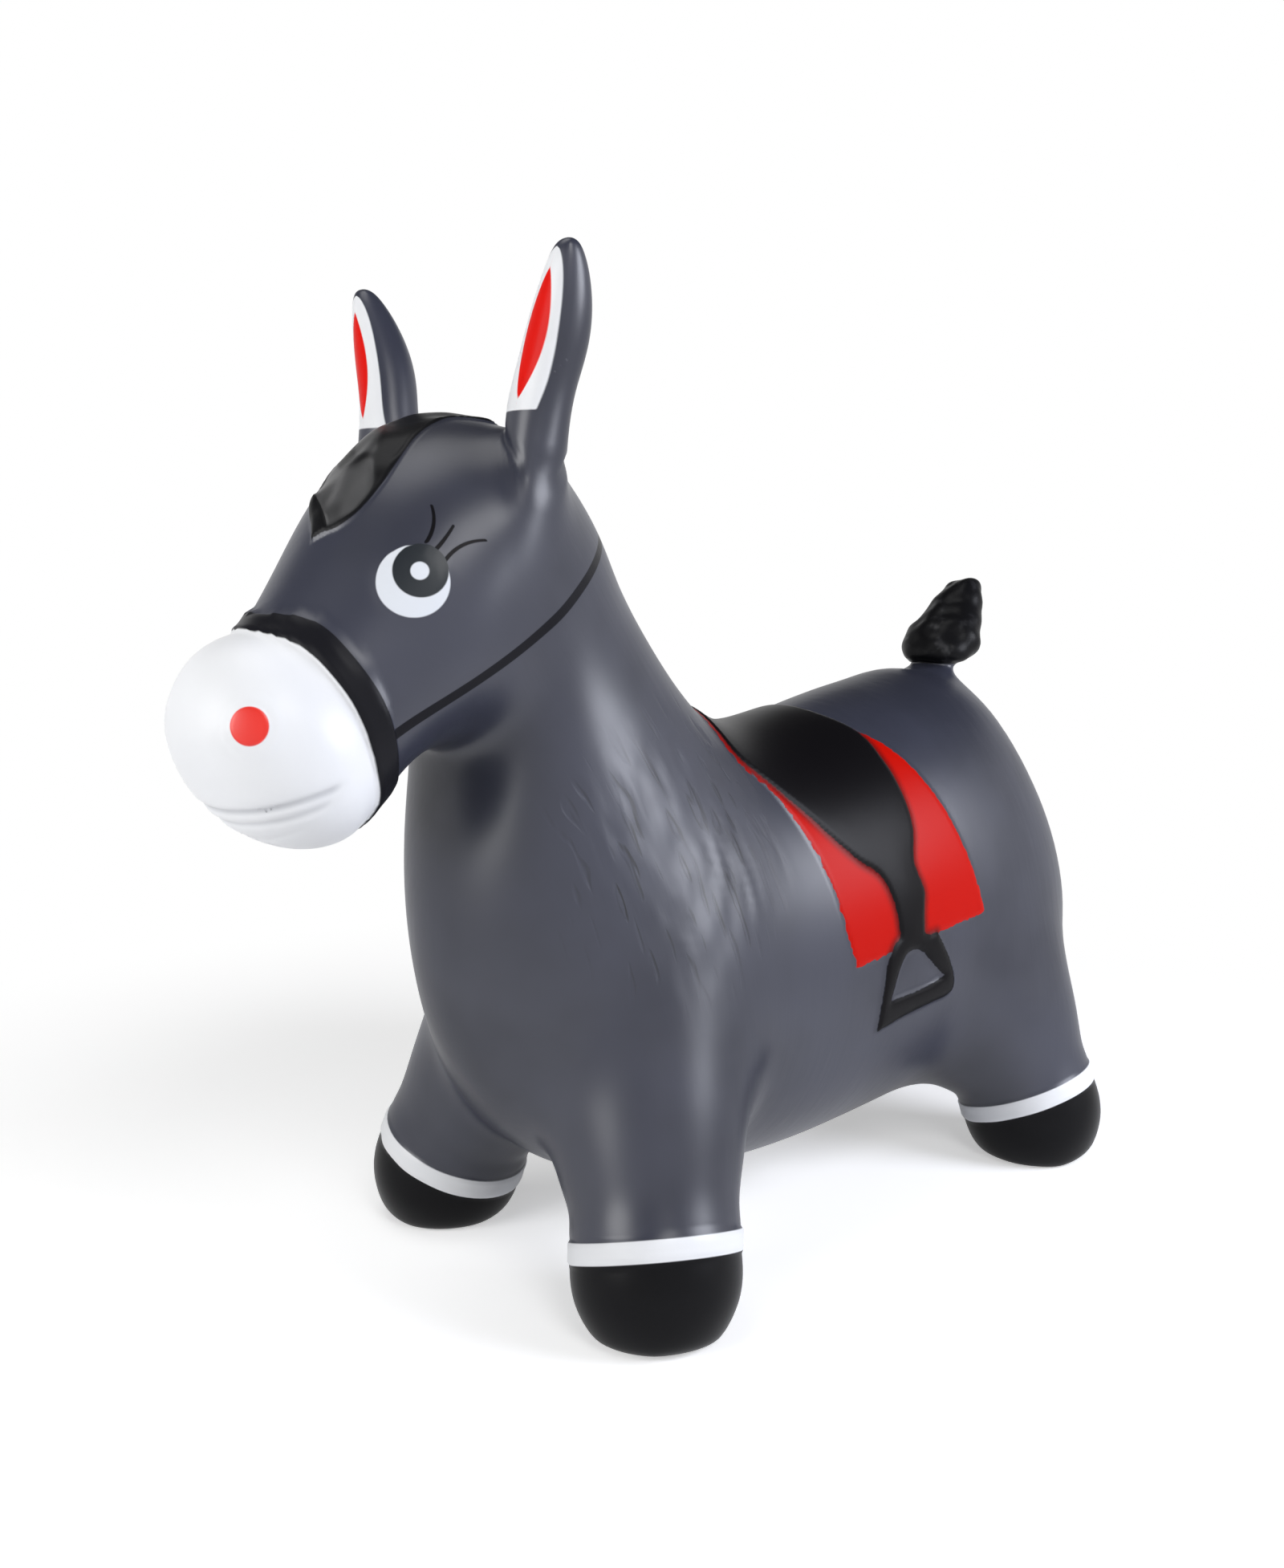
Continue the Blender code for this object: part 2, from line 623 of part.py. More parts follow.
def add_paint_relief(skin, zones, parts, guides, parent, finish):
    """Saddle, cloth, forelock, eyes and nostrils: raised pads that follow the skin."""
    middle = [face for face in zones["body"] if face.calc_center_median().y > 0.0]
    sideways = (BODY_WIDTH, 0.0, 0.0)

    cloth = add_object("saddle_cloth", shell_of(middle, PAINT_GAP + CLOTH_RELIEF, PAINT_GAP, 0.0),
                       parts, finish["red"])
    attach(cloth, parent)
    cloth_edge = prism("cloth_outline", side_outline(CLOTH_SHARES), sideways, guides, parent)
    boolean(cloth, cloth_edge, "INTERSECT")

    under = add_object("cloth_space", shell_of(middle, CLOTH_RELIEF + PAINT_GAP * 2.0, -PAINT_GAP, 0.0),
                       guides, None)
    hide(under, parent)
    room = prism("cloth_space_outline", spread(side_outline(CLOTH_SHARES), PAINT_GAP), sideways,
                 guides, parent)
    boolean(under, room, "INTERSECT")

    saddle = add_object("saddle", shell_of(middle, PAINT_GAP + SADDLE_RELIEF, PAINT_GAP, 0.0), parts,
                        finish["black"])
    attach(saddle, parent)
    boolean(saddle, prism("saddle_outline", side_outline(SADDLE_SHARES), sideways, guides, parent),
            "INTERSECT")
    boolean(saddle, prism("stirrup_window", side_outline(STIRRUP_WINDOW_SHARES), sideways, guides,
                          parent), "DIFFERENCE")
    boolean(saddle, under, "DIFFERENCE")

    brow = Vector((0.0, -1.0, -BROW_FALL_SHARE)).normalized()
    crown = head_point(*FORELOCK_TOP_SHARES)
    outline = [crown + Vector((x * HEAD_WIDTH, 0.0, 0.0)) + brow * down * HEAD_LENGTH
               for x, down in FORELOCK_SHARES]
    outward = Vector((0.0, brow.z, -brow.y)) * HEAD_DEPTH * FORELOCK_REACH_SHARE
    brows = [face for face in zones["head"] if face.normal.dot(outward) > 0.0
             and face.calc_center_median().z > head_point(*FOREHEAD_SHARES).z
             and -FORELOCK_FIELD_SHARES[0] * HEAD_WIDTH < face.calc_center_median().x
             < FORELOCK_FIELD_SHARES[1] * HEAD_WIDTH]
    forelock = add_object("forelock", shell_of(brows, PAINT_GAP + FORELOCK_RELIEF, PAINT_GAP, 0.0),
                          parts, finish["black"])
    attach(forelock, parent)
    boolean(forelock, prism("forelock_outline", outline, outward, guides, parent), "INTERSECT")

    for side, name in ((1.0, "left"), (-1.0, "right")):
        eye_place = head_point(EYE_SHARES[1], EYE_SHARES[2], side * EYE_SHARES[0] * HEAD_WIDTH)
        nose_place = head_point(NOSTRIL_SHARES[1], NOSTRIL_SHARES[2],
                                side * NOSTRIL_SHARES[0] * HEAD_WIDTH)
        spots = (("eye_", eye_place, EYE_RADIUS, EYE_RELIEF, "head", "white"),
                 ("nostril_", nose_place, NOSTRIL_RADIUS, NOSTRIL_RELIEF, "muzzle", "red"))
        for label, place, radius, rise, zone, colour in spots:
            near = [face for face in zones[zone]
                    if (face.calc_center_median() - place).length < radius * PAD_FIELD_SHARE]
            spot = add_object(label + name, shell_of(near, PAINT_GAP + rise, PAINT_GAP, 0.0), parts,
                              finish[colour])
            attach(spot, parent)
            across = surface_normal(skin, place)
            boolean(spot, rod(label + name + "_outline", place, across, radius, radius, guides, parent),
                    "INTERSECT")


def add_valve(skin, body, parts, guides, parent, finish):
    """The air valve: a seat through the belly and the tapered plug that stops it."""
    station = VALVE_SHARE * BODY_LENGTH
    near = [vert.co.z for vert in skin.verts
            if (vert.co.xy - Vector((0.0, station))).length < VALVE_FLANGE_RADIUS * 2.0]
    belly = min(near)
    place = Vector((0.0, station, belly))
    boolean(body, rod("valve_hole", place, (0.0, 0.0, 1.0), VALVE_TUBE_RADIUS + PAINT_GAP,
                      VALVE_TUBE_LENGTH, guides, parent), "DIFFERENCE")
    top = -PAINT_GAP
    low = top - VALVE_FLANGE_THICKNESS
    seat = turned("valve_seat", (
        (VALVE_BORE_RADIUS, VALVE_TUBE_LENGTH), (VALVE_TUBE_RADIUS, VALVE_TUBE_LENGTH),
        (VALVE_TUBE_RADIUS, top), (VALVE_FLANGE_RADIUS, top), (VALVE_FLANGE_RADIUS, low),
        (VALVE_BORE_RADIUS, low)), parts, finish["clear"])
    attach(seat, parent, place)
    pull = bpy.data.objects.new("plug_slide", None)
    parts.objects.link(pull)
    attach(pull, parent, place)
    head_top = low - PAINT_GAP
    head_low = head_top - PLUG_HEAD_THICKNESS
    shaft = VALVE_BORE_RADIUS - PAINT_GAP
    plug_top = VALVE_TUBE_LENGTH * PLUG_LENGTH_SHARE
    plug = turned("valve_plug", (
        (0.0, plug_top), (shaft - PLUG_TAPER, plug_top),
        (shaft, head_top), (PLUG_HEAD_RADIUS, head_top),
        (PLUG_HEAD_RADIUS, head_low), (0.0, head_low)), parts, finish["white"])
    plug.parent = pull


def main():
    clear_scene()
    parts = new_collection(COLLECTION)
    guides = new_collection("cutters")
    finish = {
        "grey": material("grey_vinyl", (0.085, 0.095, 0.118), 0.42),
        "white": material("white_paint", (0.80, 0.81, 0.82), 0.40),
        "black": material("black_paint", (0.012, 0.012, 0.014), 0.38),
        "red": material("red_paint", (0.60, 0.015, 0.008), 0.42),
        "clear": material("valve_rubber", (0.55, 0.56, 0.56), 0.50),
    }
    colours = {"muzzle": "white", "noseband": "black", "ear_lining": "white", "hoof_band": "white",
               "hoof": "black", "tail_tuft": "black"}
    relief = {"noseband": NOSEBAND_RELIEF, "hoof_band": BAND_RELIEF}

    skin = smooth_skin(build_cage(), guides)
    skin.verts.index_update()
    stations = [vert.co.y for vert in skin.verts]
    frame = bpy.data.objects.new(STANDING_FRAME, None)
    parts.objects.link(frame)
    frame.location = (0.0, -(min(stations) + max(stations)) / 2.0, 0.0)
    bounce = bpy.data.objects.new("bounce_slide", None)
    parts.objects.link(bounce)
    attach(bounce, frame, (0.0, WHEELBASE / 2.0, HOOF_HEIGHT + BAND_HEIGHT))

    zones = zone_faces(skin)
    pieces = {}
    for key, faces in sorted(zones.items()):
        kind = max((zone for zone in ZONES if key.startswith(zone)), key=len)
        mesh = shell_of(faces, relief.get(kind, 0.0), -SKIN_WALL, PAINT_GAP / 2.0)
        pieces[key] = add_object(key, mesh, parts, finish[colours.get(kind, "grey")])
        attach(pieces[key], frame if kind in ("hoof", "hoof_band", "leg") else bounce)
    add_paint_relief(skin, zones, parts, guides, bounce, finish)
    add_valve(skin, pieces["body"], parts, guides, frame, finish)
    skin.free()


main()
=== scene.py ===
# %% [markdown]
# # A bouncing donkey for a child to ride
# The toy is one thick vinyl skin, moulded whole, painted by hand and pumped full of air. This
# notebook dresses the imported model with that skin: one seamless surface with its painted
# saddle, bridle, hooves and face, in the same frame as the working solids.

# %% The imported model
import math

import bmesh
import bpy
import numpy as np
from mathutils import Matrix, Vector, noise


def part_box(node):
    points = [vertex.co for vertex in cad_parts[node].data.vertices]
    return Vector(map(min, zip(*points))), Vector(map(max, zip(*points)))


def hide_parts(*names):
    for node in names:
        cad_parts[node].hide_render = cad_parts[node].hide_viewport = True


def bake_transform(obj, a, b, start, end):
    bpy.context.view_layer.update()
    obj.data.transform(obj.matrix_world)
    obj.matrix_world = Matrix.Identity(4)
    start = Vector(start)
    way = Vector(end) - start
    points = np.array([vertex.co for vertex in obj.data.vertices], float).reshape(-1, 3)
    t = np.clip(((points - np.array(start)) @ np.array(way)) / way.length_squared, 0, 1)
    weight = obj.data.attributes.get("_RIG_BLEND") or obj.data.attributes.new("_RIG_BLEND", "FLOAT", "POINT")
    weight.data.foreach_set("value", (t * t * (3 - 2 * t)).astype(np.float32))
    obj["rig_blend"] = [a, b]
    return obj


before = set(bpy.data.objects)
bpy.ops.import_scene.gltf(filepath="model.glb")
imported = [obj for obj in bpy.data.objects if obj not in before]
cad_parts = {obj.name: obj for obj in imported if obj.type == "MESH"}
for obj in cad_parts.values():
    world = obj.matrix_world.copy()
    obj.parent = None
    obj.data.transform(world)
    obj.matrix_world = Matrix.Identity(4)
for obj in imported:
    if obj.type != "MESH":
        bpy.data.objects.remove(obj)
bpy.context.view_layer.update()

# %% [markdown]
# ## The animal's sizes
# A sculptor of such a toy starts from a side view. The trunk is a row of egg-shaped rings from
# the rump to the throat, and the head is a second row, which turns down to the muzzle. Every
# place is a share of a few sizes that can be read off the photograph. All of it is written in
# the animal's own frame: y = 0 is at the front hooves, and the floor is z = 0.

# %% Driving sizes
BODY_LENGTH = 0.500
BODY_WIDTH = 0.220
BACK_HEIGHT = 0.320
HEAD_LENGTH = 0.200
HEAD_DEPTH = 0.200
HEAD_WIDTH = 0.170
POLL_HEIGHT = 0.430
POLL_SETBACK = 0.040
FRONT_TRACK = 0.210
HIND_TRACK = 0.212
WHEELBASE = 0.363
HOOF_RADIUS = 0.0490
HOOF_HEIGHT = 0.041
BAND_HEIGHT = 0.0115
ANKLE_RADIUS = 0.0462
SOLE_RADIUS = 0.0300
SOLE_PRESS = 0.008
SHOULDER_BULGE = 0.014
EAR_LENGTH = 0.105
EAR_RADIUS = 0.0187
EAR_SCOOP = 0.0030
EAR_TIP_SPREAD = 0.034
EAR_BOW = 0.0036
TAIL_RISE = 0.068
TAIL_SWEEP = 0.055
TAIL_HALF_WIDTH = 0.0220
TAIL_THICKNESS = 0.0360
VALVE_SHARE = 0.40

# %% Tables of shares
# Half a ring, from the top of the back to the middle of the belly: how far down, how far out
RING_DROP_SHARES = (0.0, 0.08, 0.31, 0.61, 0.85, 0.975, 1.0)
RING_WIDTH_SHARES = (0.0, 0.54, 0.92, 1.0, 0.77, 0.32, 0.0)
# Each ring's top y and z, its low y and z, and its half width
TRUNK_SHARES = (
    (0.810, 0.88, 0.850, 0.26, 0.40),
    (0.750, 1.00, 0.815, 0.15, 0.49),
    (0.640, 1.07, 0.690, 0.115, 0.53),
    (0.530, 1.06, 0.560, 0.10, 0.53),
    (0.420, 1.01, 0.430, 0.08, 0.52),
    (0.330, 0.98, 0.280, 0.065, 0.50),
    (0.262, 0.99, 0.130, 0.11, 0.48),
    (0.220, 1.04, 0.000, 0.17, 0.46),
    (0.188, 1.10, -0.085, 0.29, 0.43),
    (0.158, 1.15, -0.128, 0.46, 0.40),
    (0.124, 1.22, -0.142, 0.63, 0.37),
    (0.088, 1.29, -0.135, 0.79, 0.33),
)
HEAD_SHARES = (
    (0.02, 0.03, 0.46, -0.63, 0.42),
    (0.22, 0.24, 0.52, -0.62, 0.46),
    (0.46, 0.31, 0.59, -0.62, 0.50),
    (0.69, 0.22, 0.65, -0.65, 0.46),
    (0.83, 0.02, 0.68, -0.68, 0.40),
    (0.985, -0.255, 0.73, -0.735, 0.33),
    (1.03, -0.28, 0.775, -0.775, 0.325),
    (1.12, -0.29, 0.80, -0.82, 0.36),
    (1.20, -0.39, 0.91, -0.84, 0.32),
    (1.22, -0.51, 1.04, -0.79, 0.20),
)


# %% [markdown]
# The head's table counts forward from the poll, the bump between the ears, and up from it.

# %% Places of the rings
def head_point(forward, up, side=0.0):
    return Vector((side, POLL_SETBACK - forward * HEAD_LENGTH, POLL_HEIGHT + up * HEAD_DEPTH))


def ring_row(step):
    """A ring's top point, low point and half width."""
    if step < len(TRUNK_SHARES):
        top_y, top_z, low_y, low_z, half = TRUNK_SHARES[step]
        top = Vector((0.0, top_y * BODY_LENGTH, top_z * BACK_HEIGHT))
        return top, Vector((0.0, low_y * BODY_LENGTH, low_z * BACK_HEIGHT)), half * BODY_WIDTH
    top_y, top_z, low_y, low_z, half = HEAD_SHARES[step - len(TRUNK_SHARES)]
    return head_point(top_y, top_z), head_point(low_y, low_z), half * HEAD_WIDTH


def ring_point(step, point):
    """One of the seven points of a half ring."""
    top, low, half = ring_row(step)
    return top.lerp(low, RING_DROP_SHARES[point]) + Vector((half * RING_WIDTH_SHARES[point], 0.0, 0.0))


RINGS = len(TRUNK_SHARES) + len(HEAD_SHARES)
LAST_POINT = len(RING_WIDTH_SHARES) - 1
print("rings", RINGS)

# %% [markdown]
# ## Working as by hand
# The skin could be sculpted, lofted or cut from balls. A cage of large faces is what a
# character modeller would draw: the few corners set the form, and subdivision rounds it. Each
# step below selects some corners by their place, extrudes them and moves them, as one would
# with the mouse.

# %% Selecting and extruding
MERGE = 0.0001
ZONES = ("trunk", "head", "noseband", "muzzle", "ear", "lining", "leg", "band", "hoof", "stub",
         "tuft")
ZONE = {name: number for number, name in enumerate(ZONES)}


def work_on(piece, mode="EDIT"):
    """Nothing else stays selected, and the piece opens in edit mode."""
    if bpy.context.object is not None and bpy.context.object.mode != "OBJECT":
        bpy.ops.object.mode_set(mode="OBJECT")
    bpy.ops.object.select_all(action="DESELECT")
    piece.select_set(True)
    bpy.context.view_layer.objects.active = piece
    if mode != "OBJECT":
        bpy.ops.object.mode_set(mode=mode)


def pick(piece, places):
    """Select the corners that lie at some places, with the edges and faces between them."""
    bpy.ops.mesh.select_all(action="DESELECT")
    mesh = bmesh.from_edit_mesh(piece.data)
    for place in places:
        min(mesh.verts, key=lambda v: (v.co - place).length_squared).select_set(True)
    mesh.select_flush(True)
    bmesh.update_edit_mesh(piece.data)


def picked(piece):
    return [vert for vert in bmesh.from_edit_mesh(piece.data).verts if vert.select]


def apply(piece, kind, **settings):
    """Add a modifier, set it and apply it."""
    work_on(piece, "OBJECT")
    bpy.ops.object.modifier_add(type=kind)
    made = piece.modifiers[-1]
    for name, value in settings.items():
        setattr(made, name, value)
    bpy.ops.object.modifier_apply(modifier=made.name)


# %% [markdown]
# ## The first ring
# A circle of twelve corners is added upright at the rump, its right half is deleted, because
# the animal is mirrored later, and its seven corners are drawn into the egg shape that all the
# rings share: broad across the back, narrow along the belly.

# %% Half a ring at the rump
HALF_TURN = math.pi
FULL_RING = 12

bpy.ops.object.select_all(action="DESELECT")
bpy.ops.mesh.primitive_circle_add(vertices=FULL_RING, radius=0.5, fill_type="NOTHING",
                                  rotation=(HALF_TURN / 2.0, 0.0, 0.0))
skin = bpy.context.object
skin.name = "skin"
bpy.ops.object.transform_apply(location=True, rotation=True, scale=True)
for name in ZONES:
    skin.data.materials.append(bpy.data.materials.new("zone_" + name))
work_on(skin)
mesh = bmesh.from_edit_mesh(skin.data)
bpy.ops.mesh.select_all(action="DESELECT")
for vert in mesh.verts:
    vert.select_set(vert.co.x < -MERGE)
mesh.select_flush(True)
bpy.ops.mesh.delete(type="VERT")
mesh = bmesh.from_edit_mesh(skin.data)
for point, vert in enumerate(sorted(mesh.verts, key=lambda v: -v.co.z)):
    vert.co = (RING_WIDTH_SHARES[point], 0.0, 0.5 - RING_DROP_SHARES[point])
bmesh.update_edit_mesh(skin.data)
print("corners of the first half ring", len(mesh.verts))


# %% [markdown]
# ## Trunk, neck and head
# The ring is extruded from station to station. At each one it is turned upright, resized to
# the new height and width, tilted to the station's slant and moved there. With no window the
# rotate operator turns the other way, so the angles are negated and the centre is given.

# %% Rings from the rump to the muzzle
def tilt_of(step):
    top, low, _ = ring_row(step)
    return math.atan2(low.y - top.y, top.z - low.z)


def set_ring(here, before=None):
    """Bring the selected ring from one station, or from the unit ring, to the next."""
    top, low, half = ring_row(here)
    middle, size, turn, width = Vector(), 1.0, 0.0, 1.0
    if before is not None:
        old_top, old_low, width = ring_row(before)
        middle = (old_top + old_low) / 2.0
        size = (old_top - old_low).length
        turn = tilt_of(before)
    bpy.ops.transform.rotate(value=turn, orient_axis="X", orient_type="GLOBAL", center_override=middle)
    bpy.ops.transform.resize(value=(half / width, 1.0, (top - low).length / size),
                             orient_type="GLOBAL", center_override=middle)
    bpy.ops.transform.rotate(value=-tilt_of(here), orient_axis="X", orient_type="GLOBAL",
                             center_override=middle)
    bpy.ops.transform.translate(value=(top + low) / 2.0 - middle)


bpy.ops.mesh.select_all(action="SELECT")
set_ring(0)
for step in range(1, RINGS):
    bpy.ops.mesh.extrude_region_move()
    set_ring(step, step - 1)
mesh = bmesh.from_edit_mesh(skin.data)
worst = max(min((vert.co - ring_point(step, point)).length for vert in mesh.verts)
            for step in range(RINGS) for point in range(LAST_POINT + 1))
print("faces", len(mesh.faces), "furthest corner from its table", round(worst, 6))


# %% [markdown]
# ## Closing the rump and the muzzle
# Each open end gets three four-sided faces round one new corner on the middle plane. Four-sided
# faces round off smoothly, where a fan of triangles would leave a pucker.

# %% The two ends
NOSEBAND_RING = 5
RUMP_CAP_SHARES = (0.870, 0.58)
MUZZLE_CAP_SHARES = (1.19, -0.67)


def close_end(step, centre):
    pick(skin, [ring_point(step, 0)])
    bpy.ops.mesh.extrude_region_move()
    for vert in picked(skin):
        vert.co = centre
    bmesh.update_edit_mesh(skin.data)
    for first in (0, 2, 4):
        pick(skin, [ring_point(step, first + more) for more in range(3)] + [centre])
        bpy.ops.mesh.edge_face_add()


close_end(0, Vector((0.0, RUMP_CAP_SHARES[0] * BODY_LENGTH, RUMP_CAP_SHARES[1] * BACK_HEIGHT)))
close_end(RINGS - 1, head_point(*MUZZLE_CAP_SHARES))

mesh = bmesh.from_edit_mesh(skin.data)
for face in mesh.faces:
    middle = face.calc_center_median()
    rows = [min(range(RINGS), key=lambda r: min((vert.co - ring_point(r, p)).length
                                               for p in range(LAST_POINT + 1))) for vert in face.verts]
    station = min(rows) - len(TRUNK_SHARES)
    name = "trunk" if station < 0 else "head" if station < NOSEBAND_RING else "muzzle"
    face.material_index = ZONE["noseband" if station == NOSEBAND_RING else name]
bmesh.update_edit_mesh(skin.data)
print("faces with the ends closed", len(mesh.faces))


# %% [markdown]
# ## Legs
# On the toy each leg is a stout tube that flows out of the belly. Four faces of the trunk are
# extruded as one block: twice for the shoulder, then to eight-sided rings at the ankle, at the
# top of the hoof, at its middle, low down and at its sole. The last ring lies under the floor,
# so that the weight of the toy can press the sole flat afterwards.

# %% Extruding a block of faces
def block_places(rings, points):
    return [ring_point(ring, point) for ring in range(rings[0], rings[1] + 1)
            for point in range(points[0], points[1] + 1)]


def grow(corners, levels, zones, front=()):
    """Extrude the faces between some corners level by level, and mark what each step makes."""
    for places, zone in zip(levels, zones):
        pick(skin, corners)
        bpy.ops.mesh.extrude_region_move()
        mesh = bmesh.from_edit_mesh(skin.data)
        fresh = picked(skin)
        caps = [face for face in mesh.faces if face.select]
        moved = [min(fresh, key=lambda v: (v.co - here).length_squared) for here in corners]
        ahead = [moved[number] for number in front]
        for vert in moved:
            for face in vert.link_faces:
                if face not in caps:
                    lined = zone == "ear" and sum(v in ahead for v in face.verts) == 2
                    face.material_index = ZONE["lining" if lined else zone]
        for face in caps:
            face.material_index = ZONE[zone]
        for vert, place in zip(moved, places):
            vert.co = place
        bmesh.update_edit_mesh(skin.data)
        corners = places


# %% Four legs are two, until the mirror
FRONT_LEG_RINGS = (6, 8)
HIND_LEG_RINGS = (1, 3)
# How far down to the ankle each ring of a leg's shoulder lies, and how full it is
LEG_SHARES = ((0.36, 0.80), (0.72, 0.60))
LEG_SPLAY_SHARE = 0.28
FRONT_RAKE_SHARE = -0.22
HIND_RAKE_SHARE = 0.16
LEG_POINTS = (3, 5)
LEG_SIDES = 8


def swell(sides):
    """How much wider a cage of so many sides is than the surface that it gives."""
    return 4.0 / (3.0 + math.cos(2.0 * math.pi / sides))


def leg_axis(rake):
    return Vector((-LEG_SPLAY_SHARE, -rake, 1.0)).normalized()


def leg_rings(track, station, rake):
    foot, axis = Vector((track / 2.0, station, 0.0)), leg_axis(rake)
    rows = ((HOOF_HEIGHT + BAND_HEIGHT, ANKLE_RADIUS), (HOOF_HEIGHT, HOOF_RADIUS),
            (HOOF_HEIGHT / 2.0, HOOF_RADIUS), (SOLE_PRESS / 2.0, (HOOF_RADIUS + SOLE_RADIUS) / 2.0),
            (-SOLE_PRESS, SOLE_RADIUS))
    fore = Vector((0.0, -1.0, 0.0))
    fore = (fore - axis * fore.dot(axis)).normalized()
    inward = fore.cross(axis)
    rings = []
    for along, radius in rows:
        steps = [fore * ahead + inward * across for ahead in (-1, 0, 1) for across in (-1, 0, 1)]
        rings.append([foot + axis * along + step.normalized() * radius * swell(LEG_SIDES)
                      for step in steps])
    return rings


def shoulder(corners, ankle, along, fullness):
    """Part of the way from the body to the ankle, and fuller than the straight line."""
    middle = ankle[len(ankle) // 2]
    return [high.lerp(low, along) + (low - middle).normalized() * SHOULDER_BULGE * fullness
            for high, low in zip(corners, ankle)]


def add_leg(rings, track, station, rake):
    corners = block_places(rings, LEG_POINTS)
    below = leg_rings(track, station, rake)
    levels = [shoulder(corners, below[0], *row) for row in LEG_SHARES] + below
    grow(corners, levels, ["leg"] * 3 + ["band"] + ["hoof"] * 3)


add_leg(FRONT_LEG_RINGS, FRONT_TRACK, 0.0, FRONT_RAKE_SHARE)
add_leg(HIND_LEG_RINGS, HIND_TRACK, WHEELBASE, HIND_RAKE_SHARE)
print("faces with legs", len(bmesh.from_edit_mesh(skin.data).faces))


# %% [markdown]
# ## Ears
# An ear is the handle that the child holds. Two faces beside the poll are extruded upwards
# through six-cornered rings, nearly round ones, because the ear is a stout handle: three
# corners behind and three in front, of which the middle one is drawn back a little.

# %% One ear
EAR_RING = 1
EAR_POINTS = (1, 3)
EAR_SIDES = 6
EAR_ROOT_SHARES = (0.40, 0.06, 0.315)
# Each ring of an ear: its height, its width, how far it bows back and how far it is scooped
EAR_SHARES = (
    (0.29, 0.88, -1.0, 0.0),
    (0.48, 0.97, 0.2, 1.0),
    (0.68, 0.98, 0.6, 1.0),
    (0.90, 0.68, 0.2, 0.5),
    (1.04, 0.30, -0.6, 0.0),
)


def flat_ring(centre, through, half_width, behind, side, rim, front):
    across = Vector((half_width, 0.0, 0.0))
    return [centre - across - through * side, centre - through * behind,
            centre + across - through * side, centre - across + through * rim,
            centre + through * front, centre + across + through * rim]


ear_root = head_point(*EAR_ROOT_SHARES[:2], side=EAR_ROOT_SHARES[2] * HEAD_WIDTH)
ear_rings = []
for height, width, bow, scoop in EAR_SHARES:
    centre = ear_root + Vector((EAR_TIP_SPREAD * height, EAR_BOW * bow, EAR_LENGTH * height))
    radius = EAR_RADIUS * width * swell(EAR_SIDES)
    half = radius * math.sin(math.radians(60.0))
    ear_rings.append(flat_ring(centre, Vector((0.0, -1.0, 0.0)), half, radius, radius / 2.0,
                               radius / 2.0, radius - EAR_SCOOP * scoop))
throat = len(TRUNK_SHARES)
grow(block_places((throat + EAR_RING, throat + EAR_RING + 1), EAR_POINTS), ear_rings,
     ["head"] + ["ear"] * 4, front=(3, 4, 5))
mesh = bmesh.from_edit_mesh(skin.data)
for face in mesh.faces:
    if all(vert.co.z > ear_rings[3][0].z for vert in face.verts):
        face.material_index = ZONE["ear"]
print("faces with an ear", len(mesh.faces))

# %% [markdown]
# ## The other side, then the tail
# The Mirror modifier makes the animal's right side and merges the seam. The tail stands on the
# middle plane, so it is extruded after that: a short grey stub, then the black tuft, which
# bulges over it and gets thinner as it rises and leans back.

# %% Mirror and tail
TAIL_RING = 1
# Each ring of the tail: how far back, how far up, its width and its girth
TAIL_SHARES = (
    (0.10, 0.12, 0.75, 0.70),
    (0.30, 0.26, 0.75, 0.70),
    (0.30, 0.24, 1.34, 1.55),
    (0.40, 0.46, 1.44, 1.72),
    (0.57, 0.68, 1.24, 1.42),
    (0.72, 0.84, 0.84, 1.00),
    (0.82, 0.98, 0.80, 0.96),
    (0.86, 1.09, 0.48, 0.54),
)
# How far a ring's middle and side corners lie from its centre, in shares of its girth
TAIL_GIRTH_SHARES = (0.5, 0.25)

apply(skin, "MIRROR", use_axis=(True, False, False), merge_threshold=MERGE)
work_on(skin)
bpy.ops.mesh.select_all(action="SELECT")
bpy.ops.mesh.normals_make_consistent(inside=False)

tail_block = []
for ring in (TAIL_RING + 1, TAIL_RING):
    middle, beside = ring_point(ring, 0), ring_point(ring, 1)
    tail_block += [Vector((-beside.x, *beside.yz)), middle, beside]
tail_root = sum(tail_block, Vector()) / len(tail_block)
tail_rings = []
for sweep, rise, width, girth in TAIL_SHARES:
    centre = tail_root + Vector((0.0, TAIL_SWEEP * sweep, TAIL_RISE * rise))
    far, near = (share * TAIL_THICKNESS * girth for share in TAIL_GIRTH_SHARES)
    tail_rings.append(flat_ring(centre, Vector((0.0, 1.0, 0.0)), TAIL_HALF_WIDTH * width, far, near,
                                near, far))
grow(tail_block, tail_rings, ["stub"] * 2 + ["tuft"] * (len(tail_rings) - 2))
print("cage faces", len(bmesh.from_edit_mesh(skin.data).faces))

# %% [markdown]
# ## Rounding
# One level of subdivision makes the surface that the working solids were cut from. The trunk,
# the head and the legs are then smoothed, which takes the last corners of the cage out of
# them, and everything under the floor is pressed flat by a resize to nothing in Z. Two more
# levels give the fine skin.

# %% Subdivide, relax, press
RELAX_FACTOR = 0.5
RELAX_PASSES = 3
LIMB_RELAX_PASSES = 4

apply(skin, "SUBSURF", levels=1, render_levels=1)
work_on(skin)


def relax(zones, touching, passes):
    """Smooth the corners whose faces are all in some zones, one of them in a given one."""
    mesh = bmesh.from_edit_mesh(skin.data)
    bpy.ops.mesh.select_all(action="DESELECT")
    for vert in mesh.verts:
        found = {face.material_index for face in vert.link_faces}
        vert.select_set(found <= zones and bool(found & touching))
    mesh.select_flush(True)
    bpy.ops.mesh.vertices_smooth(factor=RELAX_FACTOR, repeat=passes)


